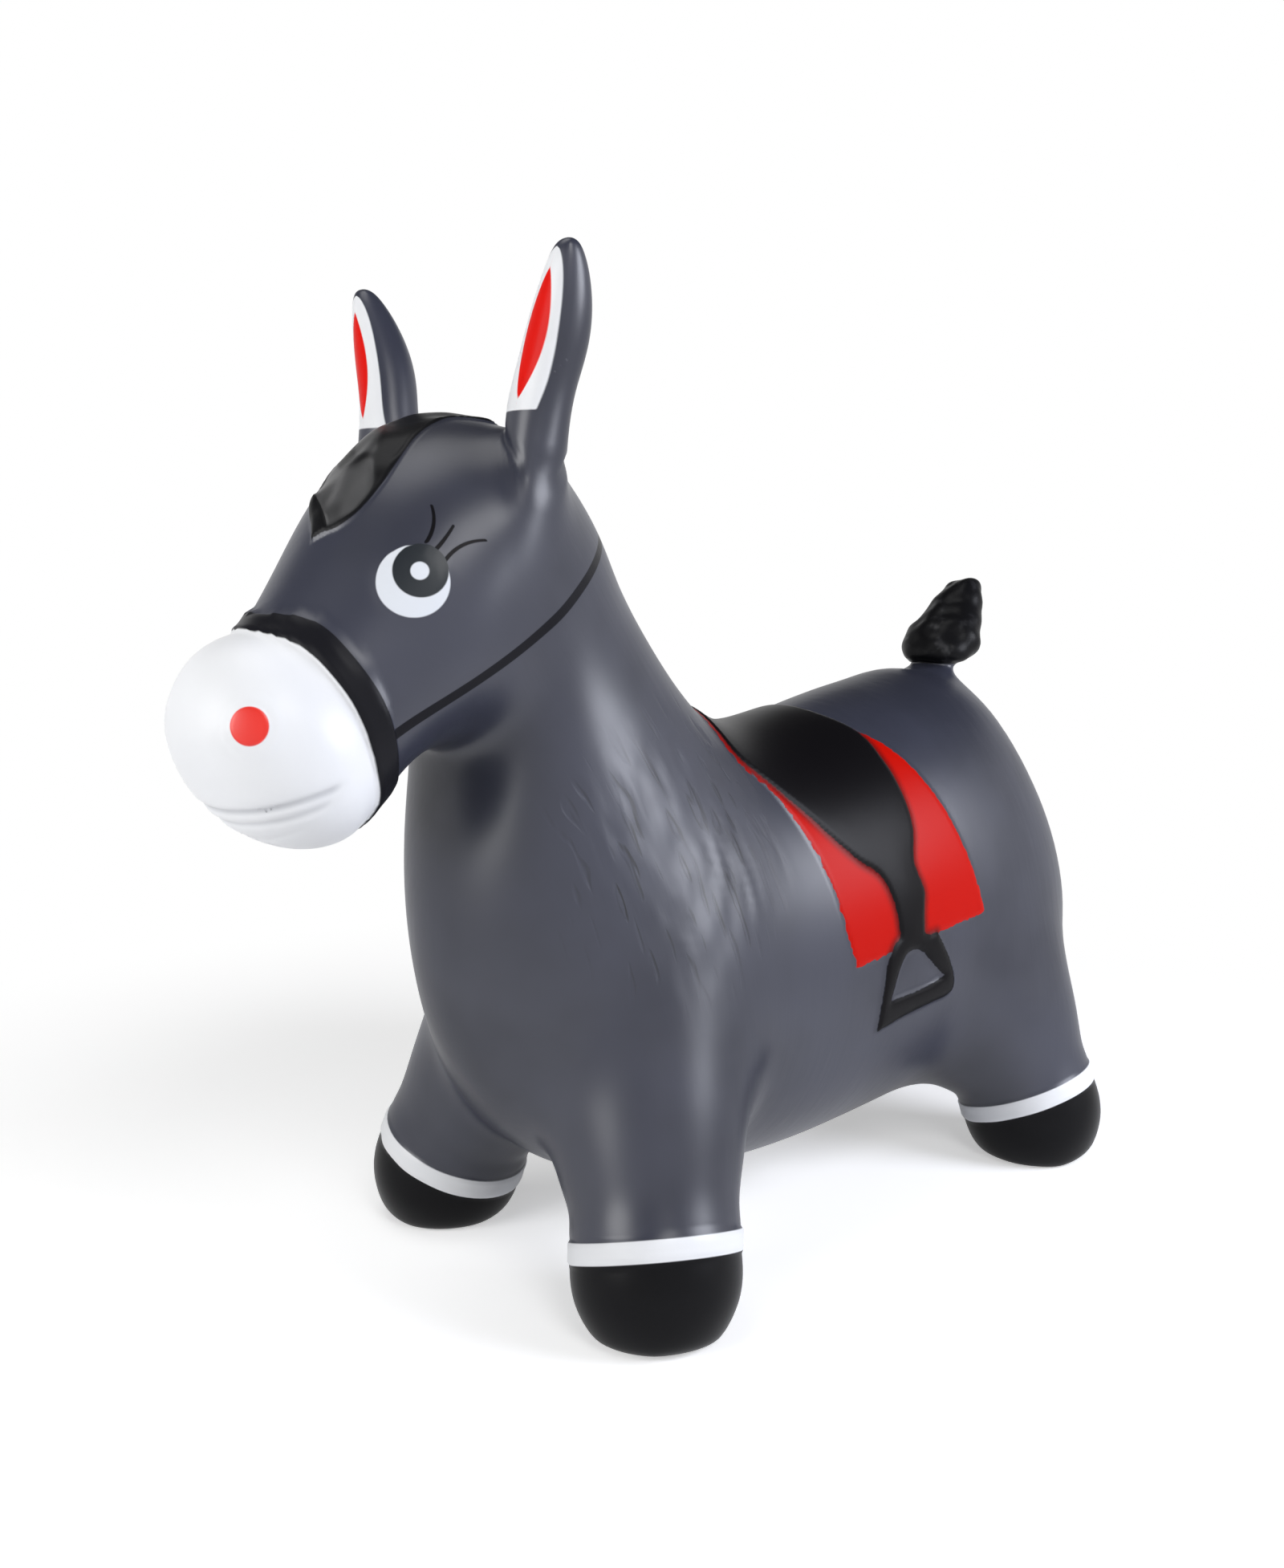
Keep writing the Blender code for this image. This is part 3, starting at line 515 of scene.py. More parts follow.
loose = {ZONE["trunk"], ZONE["leg"], ZONE["head"]}
relax(loose, loose, RELAX_PASSES)
relax(loose, {ZONE["leg"]}, LIMB_RELAX_PASSES)
mesh = bmesh.from_edit_mesh(skin.data)
bpy.ops.mesh.select_all(action="DESELECT")
for vert in mesh.verts:
    vert.select_set(vert.co.z < 0.0)
mesh.select_flush(True)
bpy.ops.transform.resize(value=(1.0, 1.0, 0.0), orient_type="GLOBAL", center_override=(0.0, 0.0, 0.0))
apply(skin, "SUBSURF", levels=2, render_levels=2)
print("fine skin", len(skin.data.polygons), "faces", [round(s, 4) for s in skin.dimensions])

# %% [markdown]
# ## Where the paint goes
# The painter of the real toy sprays each colour through a mask that is laid on the skin. A mask
# here is a line of a few points in the side view, or across the brow for the forelock, rounded
# through its points but for the corners. The lines follow the borders of the working solids, with
# more points where the photograph shows more.

# %% Outlines of the paint
SADDLE_SHARES = (
    (0.222, 1.080), (0.216, 0.930), (0.258, 0.856), (0.290, 0.803), (0.320, 0.753),
    (0.348, 0.712), (0.376, 0.681), (0.392, 0.625), (0.397, 0.565), (0.386, 0.550),
    (0.375, 0.522), (0.369, 0.460), (0.367, 0.386), (0.374, 0.389), (0.420, 0.406),
    (0.470, 0.417), (0.499, 0.427), (0.502, 0.450), (0.492, 0.487), (0.477, 0.526),
    (0.463, 0.558), (0.451, 0.556), (0.440, 0.560), (0.441, 0.600), (0.445, 0.640),
    (0.436, 0.694), (0.449, 0.759), (0.451, 0.822), (0.448, 0.890), (0.442, 0.931),
    (0.416, 0.975), (0.410, 1.080),
)
SADDLE_CORNERS = (0, 8, 12, 20, 22, 31)
STIRRUP_WINDOW_SHARES = (
    (0.384, 0.443), (0.389, 0.472), (0.395, 0.500), (0.407, 0.528), (0.422, 0.534),
    (0.439, 0.523), (0.457, 0.497), (0.481, 0.466), (0.448, 0.453),
)
STIRRUP_WINDOW_CORNERS = (0, 7)
CLOTH_SHARES = (
    (0.218, 1.080), (0.211, 0.928), (0.252, 0.850), (0.279, 0.768), (0.298, 0.675), (0.308, 0.606),
    (0.322, 0.525), (0.556, 0.573), (0.548, 0.622), (0.524, 0.738), (0.502, 0.822),
    (0.476, 0.888), (0.440, 0.935), (0.405, 0.960), (0.400, 1.080),
)
CLOTH_CORNERS = (0, 6, 7, 14)
FORELOCK_SHARES = (
    (0.140, -0.015), (0.085, 0.045), (0.103, 0.110), (0.126, 0.184), (0.158, 0.276),
    (0.169, 0.360), (0.153, 0.438), (0.114, 0.492), (0.070, 0.517), (0.038, 0.538),
    (0.010, 0.508), (-0.030, 0.482), (-0.075, 0.445), (-0.108, 0.395), (-0.135, 0.330),
    (-0.165, 0.220), (-0.175, 0.100), (-0.165, 0.000), (-0.120, -0.040), (0.000, -0.040),
)
FORELOCK_CORNERS = (0, 9)
STRAND_SHARES = (
    (-0.108, 0.400), (-0.092, 0.434), (-0.058, 0.461), (-0.018, 0.494), (0.033, 0.527),
    (0.038, 0.538), (0.056, 0.526), (0.078, 0.512), (0.076, 0.497), (0.049, 0.476),
    (-0.010, 0.445), (-0.064, 0.418),
)
STRAND_CORNERS = (0, 5)
FORELOCK_TOP_SHARES = (0.425, 0.235)
BROW_FALL_SHARE = 0.75
BROW_UNDER = 0.025
STRAP_SHARES = (
    (-0.2600, 0.990), (-0.2352, 1.016), (-0.1806, 1.066), (-0.1270, 1.116), (-0.0732, 1.173),
    (-0.0338, 1.223), (0.0114, 1.275), (0.0550, 1.320), (0.1000, 1.365),
)
CURVE_STEPS = 6


def rounded(points, corners=(), closed=True):
    """A line through the points, curved but for its corners."""
    points, count, line = np.array(points), len(points), []
    step = np.linspace(0.0, 1.0, CURVE_STEPS, endpoint=False)[:, None]
    for here in range(count if closed else count - 1):
        there = (here + 1) % count
        reach, slopes = points[there] - points[here], []
        for end in (here, there):
            around = points[(end + 1) % count] - points[end - 1]
            sharp = end in corners or not closed and end in (0, count - 1)
            length = np.linalg.norm(reach) / np.linalg.norm(around)
            slopes.append(reach if sharp else around * length)
        ease = step * step * (3.0 - 2.0 * step)
        line.append(points[here] * (1.0 - ease) + points[there] * ease
                    + slopes[0] * step * (1.0 - step) ** 2 - slopes[1] * step ** 2 * (1.0 - step))
    return np.concatenate(line + ([] if closed else [points[-1:]]))


def side_line(shares, corners=(), closed=True):
    return rounded([(y * BODY_LENGTH, z * BACK_HEIGHT) for y, z in shares], corners, closed)


saddle_line = side_line(SADDLE_SHARES, SADDLE_CORNERS)
window_line = side_line(STIRRUP_WINDOW_SHARES, STIRRUP_WINDOW_CORNERS)
cloth_line = side_line(CLOTH_SHARES, CLOTH_CORNERS)
strap_line = side_line(STRAP_SHARES, closed=False)
forelock_line, strand_line = (
    rounded([(x * HEAD_WIDTH, down * HEAD_LENGTH) for x, down in shares], corners)
    for shares, corners in ((FORELOCK_SHARES, FORELOCK_CORNERS), (STRAND_SHARES, STRAND_CORNERS)))
print("points on the lines", [len(line) for line in (saddle_line, window_line, cloth_line, strap_line,
                                                     forelock_line, strand_line)])


# %% Distances to the outlines
# What a corner gets that a mark can't reach
FAR = 0.050


def to_line(places, line, closed=True):
    """How far places lie from a line: positive inside a closed line, or left of an open one."""
    nearest = np.full(len(places), np.inf)
    inside = np.zeros(len(places), bool)
    side = np.ones(len(places))
    ends = np.roll(line, -1, axis=0) if closed else line[1:]
    for start, end in zip(line, ends):
        reach, away = end - start, places - start
        along = np.clip(away @ reach / (reach @ reach), 0.0, 1.0)
        distance = np.linalg.norm(away - along[:, None] * reach, axis=1)
        turn = reach[0] * away[:, 1] - reach[1] * away[:, 0]
        side = np.where(distance < nearest, np.sign(turn), side)
        nearest = np.minimum(nearest, distance)
        rising = (start[1] > places[:, 1]) != (end[1] > places[:, 1])
        inside ^= rising & ((turn > 0.0) == (end[1] > start[1]))
    return nearest * (np.where(inside, 1.0, -1.0) if closed else side)


def corner_places(piece):
    places = np.empty(len(piece.data.vertices) * 3)
    piece.data.vertices.foreach_get("co", places)
    return places.reshape(-1, 3)


def share_of(piece, *names):
    """For each corner, the share of the faces round it that lie in some zones."""
    mesh = piece.data
    zones = np.empty(len(mesh.polygons), int)
    sizes = np.empty(len(mesh.polygons), int)
    corners = np.empty(len(mesh.loops), int)
    mesh.polygons.foreach_get("material_index", zones)
    mesh.polygons.foreach_get("loop_total", sizes)
    mesh.loops.foreach_get("vertex_index", corners)
    wanted = np.repeat(np.isin(zones, [ZONE[name] for name in names]), sizes)
    return (np.bincount(corners, wanted, len(mesh.vertices))
            / np.maximum(np.bincount(corners, minlength=len(mesh.vertices)), 1))


# %% [markdown]
# ## Marks on the head and the legs
# The bridle, the muzzle, the leaf in each ear and the white bands over the hooves follow simple
# surfaces: a slightly bowed plane, a strip along the ear, rings across the leg's axis. The mouth is
# three shallow folds that run round the muzzle.

# %% A smooth step
def smooth(low, high, values):
    """From 0 at the low value to 1 at the high one, with no kink."""
    step = np.clip((values - low) / (high - low), 0.0, 1.0)
    return step * step * (3.0 - 2.0 * step)


# %% Bridle, muzzle, nostrils and mouth
# The noseband's plane: the way it faces, how far out it lies, and how it bows and dips at the chin
NOSEBAND_SLANT = Vector((0.0, -0.883, -0.469))
NOSEBAND_PLACE = -0.0334
NOSEBAND_WIDTH = 0.0126
NOSEBAND_BOW = 0.0088
NOSEBAND_BOW_WIDTH = 0.042
NOSEBAND_CHIN = 0.0050
NOSEBAND_CHIN_HEIGHTS = (0.300, 0.345)
HEAD_ONLY_Y = -0.088
HEAD_ONLY_Z = 0.235
STRAP_WIDTH = 0.0052
NOSTRIL_PLACE = Vector((0.0407, -0.1862, 0.3322))
NOSTRIL_RADIUS = 0.0092
HALO_RADIUS = 0.0150
# Each fold's height where y is zero, its slope, how far back it runs, and how deep it is
MOUTH_FOLDS = ((0.3598, 0.385, -0.1427, 0.0013), (0.3684, 0.485, -0.1460, 0.0010),
               (0.4076, 0.800, -0.1540, 0.0005))
FOLD_WIDTH = 0.0026
FOLD_FADE = 4.0 * FOLD_WIDTH


def head_marks(places):
    """Distances inside the bridle, the muzzle's white, the nostrils and the folds of the mouth."""
    x, y, z = np.abs(places[:, 0]), places[:, 1], places[:, 2]
    ahead = places @ np.array(NOSEBAND_SLANT) - NOSEBAND_PLACE
    ahead = ahead + NOSEBAND_BOW * smooth(0.0, NOSEBAND_BOW_WIDTH, x)
    ahead = ahead - NOSEBAND_CHIN * (1.0 - smooth(*NOSEBAND_CHIN_HEIGHTS, z))
    ahead = np.where((y < HEAD_ONLY_Y) & (z > HEAD_ONLY_Z), ahead, -FAR)
    strap = to_line(places[:, 1:], strap_line, closed=False)
    strap = np.where((ahead < 0.0) & (z > NOSEBAND_CHIN_HEIGHTS[0]) & (y < POLL_SETBACK), strap, FAR)
    mirrored = np.column_stack((x, y, z))
    nostril = np.linalg.norm(mirrored - np.array(NOSTRIL_PLACE), axis=1)
    mouth = np.zeros(len(places))
    for height, slope, back, deep in MOUTH_FOLDS:
        off = (z - height - slope * y) / math.hypot(1.0, slope)
        reach = smooth(back, back - FOLD_FADE, y) * (ahead > 0.0)
        mouth = mouth + deep * reach * np.exp(-(off / FOLD_WIDTH) ** 2)
    return {"noseband": NOSEBAND_WIDTH / 2.0 - np.abs(ahead), "muzzle": ahead,
            "strap": STRAP_WIDTH / 2.0 - np.abs(strap), "nostril": NOSTRIL_RADIUS - nostril,
            "mouth": mouth}


# %% The leaf in each ear
# The red leaf and the white round it: ends up the ear, then root, lean and half width
EAR_LEAF_SHARES = (0.35, 0.90)
LEAF_ROOT = 0.0684
LEAF_LEAN = 0.284
LEAF_HALF_WIDTH = 0.0071
LEAF_FULLNESS = 0.75
WHITE_SHARES = (0.30, 0.52, 0.985)
WHITE_ROOT = 0.0655
WHITE_LEAN = 0.295
WHITE_HALF_WIDTH = 0.0123
EAR_FRONT = -0.0420


def ear_marks(places):
    """Distances inside the white lining of the ears and the red leaf on it."""
    x, y, z = np.abs(places[:, 0]), places[:, 1], places[:, 2]
    up = (z - ear_root.z) / EAR_LENGTH
    along = np.clip((up - EAR_LEAF_SHARES[0]) / (EAR_LEAF_SHARES[1] - EAR_LEAF_SHARES[0]), 0.0, 1.0)
    half = LEAF_HALF_WIDTH * np.sin(HALF_TURN * along) ** LEAF_FULLNESS
    rise = z - ear_root.z - EAR_LEAF_SHARES[0] * EAR_LENGTH
    leaf = half - np.abs(x - LEAF_ROOT - LEAF_LEAN * rise) - MERGE
    bottom, round_off, top = WHITE_SHARES
    near_tip = np.clip((up - round_off) / (top - round_off), 0.0, 1.0)
    half = WHITE_HALF_WIDTH * np.sqrt(1.0 - near_tip ** 2)
    rise = z - ear_root.z - bottom * EAR_LENGTH
    white = np.minimum(half - np.abs(x - WHITE_ROOT - WHITE_LEAN * rise), rise)
    white = np.minimum(white, EAR_FRONT - y)
    return {"lining": np.maximum(white, -FAR), "leaf": np.maximum(np.minimum(leaf, white), -FAR)}


# %% Hooves and bands
BAND_TILT = 0.09


def leg_marks(places):
    """Distances inside the hooves and the bands, measured along each leg's axis."""
    mirrored = np.column_stack((np.abs(places[:, 0]), places[:, 1:]))
    front = places[:, 1] < WHEELBASE / 2.0
    along = np.empty(len(places))
    for some, track, station, rake in ((front, FRONT_TRACK, 0.0, FRONT_RAKE_SHARE),
                                       (~front, HIND_TRACK, WHEELBASE, HIND_RAKE_SHARE)):
        foot = np.array((track / 2.0, station, 0.0))
        away = mirrored[some] - foot
        along[some] = away @ np.array(leg_axis(rake)) - BAND_TILT * away[:, 0]
    return {"hoof": HOOF_HEIGHT - along,
            "band": np.minimum(along - HOOF_HEIGHT, HOOF_HEIGHT + BAND_HEIGHT - along)}


# %% All the marks
def all_marks(piece):
    places = corner_places(piece)
    side = places[:, 1:]
    brow = np.array(Vector((0.0, -1.0, -BROW_FALL_SHARE)).normalized())
    crown = np.array(head_point(*FORELOCK_TOP_SHARES))
    across = np.column_stack((places[:, 0], (places - crown) @ brow))
    above = (places - crown) @ np.array((0.0, brow[2], -brow[1]))
    on_brow = (above > -BROW_UNDER) & (share_of(piece, "head") > 0.0)
    marks = {"saddle": np.minimum(to_line(side, saddle_line), -to_line(side, window_line)),
             "cloth": to_line(side, cloth_line),
             "forelock": np.where(on_brow, to_line(across, forelock_line), -FAR),
             "strand": np.where(on_brow, to_line(across, strand_line), -FAR),
             "tuft": share_of(piece, "tuft")}
    for more in (head_marks(places), ear_marks(places), leg_marks(places)):
        marks.update(more)
    return marks


marks = all_marks(skin)
print("corners inside each mark", {name: int((inside > 0.0).sum()) for name, inside in marks.items()})

# %% [markdown]
# ## Finer faces where they are needed
# Raised paint needs small faces at its edges, and plain skin doesn't. The faces near an edge are
# selected and subdivided once or twice, and a shrinkwrap lays the new corners on a still finer copy
# of the smooth skin.

# %% Refine and lay on the smooth skin
EDGE_MARKS = ("saddle", "cloth", "forelock", "lining", "leaf", "nostril")
WIDE_EDGE = 0.0060
NEAR_EDGE = 0.0026
WIDE_FINEST = 0.0024
NEAR_FINEST = 0.0013
CREASED_Y_SHARES = (-0.30, 0.24)
CREASED_Z_SHARES = (0.30, 0.95)
CREASED_BESIDE = 0.050


def near_paint(piece, reach):
    """Corners within a reach of any paint edge."""
    found = all_marks(piece)
    near = np.min([np.abs(found[name]) for name in EDGE_MARKS], axis=0) < reach
    return (near | (np.abs(found["strap"]) < reach) | (found["mouth"] > MERGE)
            | (found["forelock"] > 0.0))


def subdivide_at(piece, corners, finest):
    """Subdivide the faces that touch some corners, unless they are fine enough already."""
    work_on(piece)
    bpy.ops.mesh.select_all(action="DESELECT")
    mesh = bmesh.from_edit_mesh(piece.data)
    mesh.verts.ensure_lookup_table()
    for number in np.flatnonzero(corners):
        for face in mesh.verts[number].link_faces:
            if face.calc_area() > finest ** 2:
                face.select_set(True)
    bmesh.update_edit_mesh(piece.data)
    bpy.ops.mesh.subdivide(number_cuts=1, smoothness=0.0, ngon=False, quadcorner="STRAIGHT_CUT")
    bpy.ops.object.mode_set(mode="OBJECT")


work_on(skin, "OBJECT")
bpy.ops.object.duplicate()
smooth_copy = bpy.context.object
apply(smooth_copy, "SUBSURF", levels=2, render_levels=2)

places = corner_places(skin)
creased = ((places[:, 1] > CREASED_Y_SHARES[0] * BODY_LENGTH)
           & (places[:, 1] < CREASED_Y_SHARES[1] * BODY_LENGTH)
           & (places[:, 2] > CREASED_Z_SHARES[0] * BACK_HEIGHT)
           & (places[:, 2] < CREASED_Z_SHARES[1] * BACK_HEIGHT)
           & (np.abs(places[:, 0]) > CREASED_BESIDE))
subdivide_at(skin, near_paint(skin, WIDE_EDGE) | creased, WIDE_FINEST)
print("after the first cut", len(skin.data.polygons), "faces")
subdivide_at(skin, near_paint(skin, NEAR_EDGE), NEAR_FINEST)
print("after the second cut", len(skin.data.polygons), "faces")
apply(skin, "SHRINKWRAP", target=smooth_copy, wrap_method="NEAREST_SURFACEPOINT")
bpy.data.objects.remove(smooth_copy)

# %% [markdown]
# ## Relief
# The mould raises the saddle, the cloth, the bridle, the forelock and the bands a little, so that
# the painter can find them. It has soft folds in the forelock, curls on the tail, the folds of the
# mouth and a fold beside each ear. Each corner is pushed along its normal by a height that climbs
# over two or three millimetres at the paint's edge. The neck and the shoulder get low ripples, as
# soft vinyl has.

# %% Heights of the relief
# A relief climbs over a narrow edge or a broad one
SOFT_EDGE = 0.0018
BROAD_EDGE = 0.0030
SADDLE_RELIEF = 0.0022
SADDLE_DOME = 0.0012
DOME_REACH = 0.012
CLOTH_RELIEF = 0.0010
NOSEBAND_RELIEF = 0.0024
BAND_RELIEF = 0.0014
FORELOCK_RELIEF = 0.0018
FORELOCK_DOME = 0.0010
STRAND_RELIEF = 0.0009
FOLD_SPACING = 0.0180
FOLD_RELIEF = 0.0022
NOSTRIL_RELIEF = 0.0007
# The eye is a disc on a plane beside the face, and the other eye mirrors it
EYE_PLACE = Vector((0.0581, -0.1105, 0.3947))
EYE_FACING = Vector((0.69, -0.67, 0.27)).normalized()
EYE_RADIUS = 0.0168
EYE_RELIEF = 0.0009
CURL_SPACING = 0.0130
CURL_RELIEF = 0.0022
HAIR_STRETCH = (0.8, 0.4)
EAR_FOLD_SLANT = 0.80
EAR_FOLD_HEIGHT = 0.507
EAR_FOLD_MIDDLE = (0.062, -0.045, 0.457)
EAR_FOLD_REACH = (0.022, 0.031)
EAR_FOLD_DEPTH = 0.0022
EAR_FOLD_WIDTH = 0.0030
CREASE_RELIEF = 0.0007
CREASE_WIDTH = 0.0052
CREASE_STRETCH = 4.0
CREASE_CENTRE_SHARES = (0.075, 0.78)
CREASE_REACH = 0.095
CREASE_CORE_SHARE = 0.4
# Ripples, streaks and grooves all swing round this point of the side view
STREAK_PIVOT = (-0.270, 0.150)
STREAK_ARM = 0.30
crease_centre = np.array(CREASE_CENTRE_SHARES) * (BODY_LENGTH, BACK_HEIGHT)


def raised(inside, height, edge=SOFT_EDGE):
    """A height that climbs over an edge's width and then stays."""
    return height * smooth(-edge / 2.0, edge / 2.0, inside)


def domed(inside, height, reach):
    return height * (1.0 - np.exp(-np.maximum(inside, 0.0) / reach))


def strands(piece, marks):
    """Soft folds in the forelock, a last strand over its tip, and curls on the tail's tuft."""
    places = corner_places(piece)
    lock, tuft = marks["forelock"], marks["tuft"]
    rise = raised(marks["strand"], STRAND_RELIEF)
    for inside, spacing, height, full in ((lock, FOLD_SPACING, FOLD_RELIEF, BROAD_EDGE),
                                          (tuft, CURL_SPACING, CURL_RELIEF, 1.0)):
        share = smooth(0.0, full, inside)
        for number in np.flatnonzero(inside > 0.0):
            x, y, z = places[number] / spacing
            here = Vector((x, (y + z) * HAIR_STRETCH[0], (y - z) * HAIR_STRETCH[1]))
            rise[number] += height * share[number] * noise.noise(here)
    return rise


def creases(places):
    """Long low ripples that swing round a point before the chest, strongest at the shoulder."""
    off = places[:, 1:] - np.array(STREAK_PIVOT)
    out = np.linalg.norm(off, axis=1) / CREASE_WIDTH
    turn = np.arctan2(off[:, 1], off[:, 0]) * STREAK_ARM / CREASE_WIDTH / CREASE_STRETCH
    sides = np.sign(places[:, 0])
    ripple = [noise.noise(Vector(here)) for here in np.column_stack((out, turn, sides))]
    away = np.linalg.norm(places[:, 1:] - crease_centre, axis=1)
    fade = smooth(CREASE_CORE_SHARE * CREASE_REACH, CREASE_REACH, away)
    return CREASE_RELIEF * np.array(ripple) * (1.0 - fade)


def ear_folds(mirrored):
    """How deep the fold beside each ear's root is."""
    off = mirrored[:, 2] + EAR_FOLD_SLANT * mirrored[:, 0] - EAR_FOLD_HEIGHT
    off = off / math.hypot(1.0, EAR_FOLD_SLANT) / EAR_FOLD_WIDTH
    near = 1.0 - smooth(*EAR_FOLD_REACH, np.linalg.norm(mirrored - EAR_FOLD_MIDDLE, axis=1))
    return EAR_FOLD_DEPTH * near * np.exp(-off ** 2)


# %% Push the corners out
marks = all_marks(skin)
places = corner_places(skin)
mirrored = np.column_stack((np.abs(places[:, 0]), places[:, 1:]))
eye = EYE_RADIUS - np.linalg.norm(mirrored - np.array(EYE_PLACE), axis=1)
saddle, cloth, lock, nostril = (marks[name] for name in ("saddle", "cloth", "forelock", "nostril"))

rise = np.maximum(raised(cloth, CLOTH_RELIEF, BROAD_EDGE),
                  raised(saddle, SADDLE_RELIEF, BROAD_EDGE)
                  + domed(saddle, SADDLE_DOME, DOME_REACH))
rise += raised(marks["noseband"], NOSEBAND_RELIEF) + raised(marks["band"], BAND_RELIEF)
rise += raised(lock, FORELOCK_RELIEF, BROAD_EDGE)
rise += domed(lock, FORELOCK_DOME, DOME_REACH)
rise += raised(nostril, NOSTRIL_RELIEF)
rise += raised(nostril + HALO_RADIUS - NOSTRIL_RADIUS, NOSTRIL_RELIEF, BROAD_EDGE)
rise -= marks["mouth"]
rise += raised(eye, EYE_RELIEF)
rise += strands(skin, marks)
rise -= ear_folds(mirrored)
near = np.linalg.norm(places[:, 1:] - crease_centre, axis=1) < CREASE_REACH
bare = np.maximum(saddle, cloth) < -SOFT_EDGE
rise[near] += creases(places[near]) * bare[near]
normals = np.empty(len(places) * 3)
skin.data.vertices.foreach_get("normal", normals)
pushed = places + normals.reshape(-1, 3) * rise[:, None]
pushed[:, 2] = np.maximum(pushed[:, 2], 0.0)
skin.data.vertices.foreach_set("co", pushed.ravel())
skin.data.update()
print("pushed by", round(rise.min(), 5), "to", round(rise.max(), 5))

# %% [markdown]
# The marks stay with the skin as attributes, for the paint, together with each corner's place at
# rest, because the skin stretches when the animal bounces and its pattern has to go along.

# %% Attributes for the paint
def keep(name, values):
    kind = "FLOAT_VECTOR" if values.ndim == 2 else "FLOAT"
    made = skin.data.attributes.new(name, kind, "POINT")
    made.data.foreach_set("vector" if values.ndim == 2 else "value", values.ravel())


keep("place", places)
for name, inside in marks.items():
    keep(name, inside)
skin.data.materials.clear()
print("attributes", sorted(skin.data.attributes.keys()))

# %% [markdown]
# ## Shader arithmetic
# A small class wraps a socket, so that a material can be written as sums and products.

# %% A wire
class Wire:
    """A value in a shader. Arithmetic on it adds Math nodes."""

    def __init__(self, tree, socket=None):
        self.tree, self.socket = tree, socket

    def node(self, kind, settings=(), sockets=(), output=0):
        """Any node: its settings are set first, then its sockets get values or links."""
        made = self.tree.nodes.new("ShaderNode" + kind)
        for name, value in dict(settings).items():
            setattr(made, name, value)
        for name, value in dict(sockets).items():
            if isinstance(value, Wire):
                self.tree.links.new(value.socket, made.inputs[name])
            else:
                made.inputs[name].default_value = value
        return Wire(self.tree, made.outputs[output])

    def math(self, operation, *values):
        return self.node("Math", {"operation": operation}, enumerate(values))

    def __add__(self, other):
        return self.math("ADD", self, other)

    __radd__ = __add__

    def __sub__(self, other):
        return self.math("SUBTRACT", self, other)

    def __rsub__(self, other):
        return self.math("SUBTRACT", other, self)

    def __mul__(self, other):
        return self.math("MULTIPLY", self, other)

    __rmul__ = __mul__

    def __truediv__(self, other):
        return self.math("DIVIDE", self, other)

    def __rtruediv__(self, other):
        return self.math("DIVIDE", other, self)

    def __pow__(self, other):
        return self.math("POWER", self, other)

    def __neg__(self):
        return self * -1.0

    def __abs__(self):
        return self.math("ABSOLUTE", self)

    def least(self, other):
        return self.math("MINIMUM", self, other)

    def most(self, other):
        return self.math("MAXIMUM", self, other)

    def smooth(self, low, high):
        """From 0 at the low value to 1 at the high one."""
        return self.node("MapRange", {"interpolation_type": "SMOOTHSTEP"},
                         {0: self, 1: low, 2: high})

    def parts(self):
        made = self.node("SeparateXYZ", (), {0: self})
        return [Wire(self.tree, socket) for socket in made.socket.node.outputs]

    def dot(self, direction):
        return self.node("VectorMath", {"operation": "DOT_PRODUCT"}, {0: self, 1: direction}, 1)

    def minus(self, place):
        return self.node("VectorMath", {"operation": "SUBTRACT"}, {0: self, 1: place})

    def length(self):
        return self.node("VectorMath", {"operation": "LENGTH"}, {0: self}, 1)

    def mix(self, first, second):
        """A blend of two colours, with this value as the share of the second."""
        return self.node("Mix", {"data_type": "RGBA"}, {0: self, 6: first, 7: second}, 2)

    def grain(self, scale, detail=2.0, stretch=(1.0, 1.0, 1.0)):
        """Noise from 0 to 1 on this vector."""
        stretched = self.node("Mapping", (), {"Vector": self, "Scale": stretch})
        return self.node("TexNoise", (), {"Vector": stretched, "Scale": scale, "Detail": detail})


def attribute(start, name, output="Fac"):
    return start.node("Attribute", {"attribute_name": name}, (), output)


def new_material(name, viewport):
    """An empty Principled material: its tree's start and its shader node."""
    made = bpy.data.materials.new(name)
    made.use_nodes = True
    made.diffuse_color = (*viewport, 1.0)
    shader = made.node_tree.nodes["Principled BSDF"]
    return made, Wire(made.node_tree), shader


# %% [markdown]
# ## Painted vinyl
# One material paints the whole skin. The grey comes first, and each paint lies over the one
# before, as on the real toy: the red cloth, the black saddle, the bridle's strap, the white muzzle,
# the noseband, the nostrils, the bands, the hooves, the ears, the forelock, the tail's tuft and
# last the eye.

# %% Colours
GREY = (0.025, 0.027, 0.041, 1.0)
GREY_LIGHT = (0.038, 0.041, 0.062, 1.0)
RED = (0.50, 0.004, 0.0005, 1.0)
EAR_RED = (0.74, 0.006, 0.002, 1.0)
NOSTRIL_RED = (0.80, 0.030, 0.020, 1.0)
BLACK = (0.004, 0.0035, 0.0045, 1.0)
STRAP_BLACK = (0.007, 0.007, 0.010, 1.0)
NOSEBAND_BLACK = (0.010, 0.010, 0.013, 1.0)
HOOF_BLACK = (0.005, 0.005, 0.006, 1.0)
LOCK_DARK = (0.006, 0.006, 0.007, 1.0)
# Paler grey painted on the forelock's glossy black as a sheen
LOCK_SHEEN = (0.064, 0.064, 0.066, 1.0)
TAIL_LIGHT = (0.026, 0.026, 0.029, 1.0)
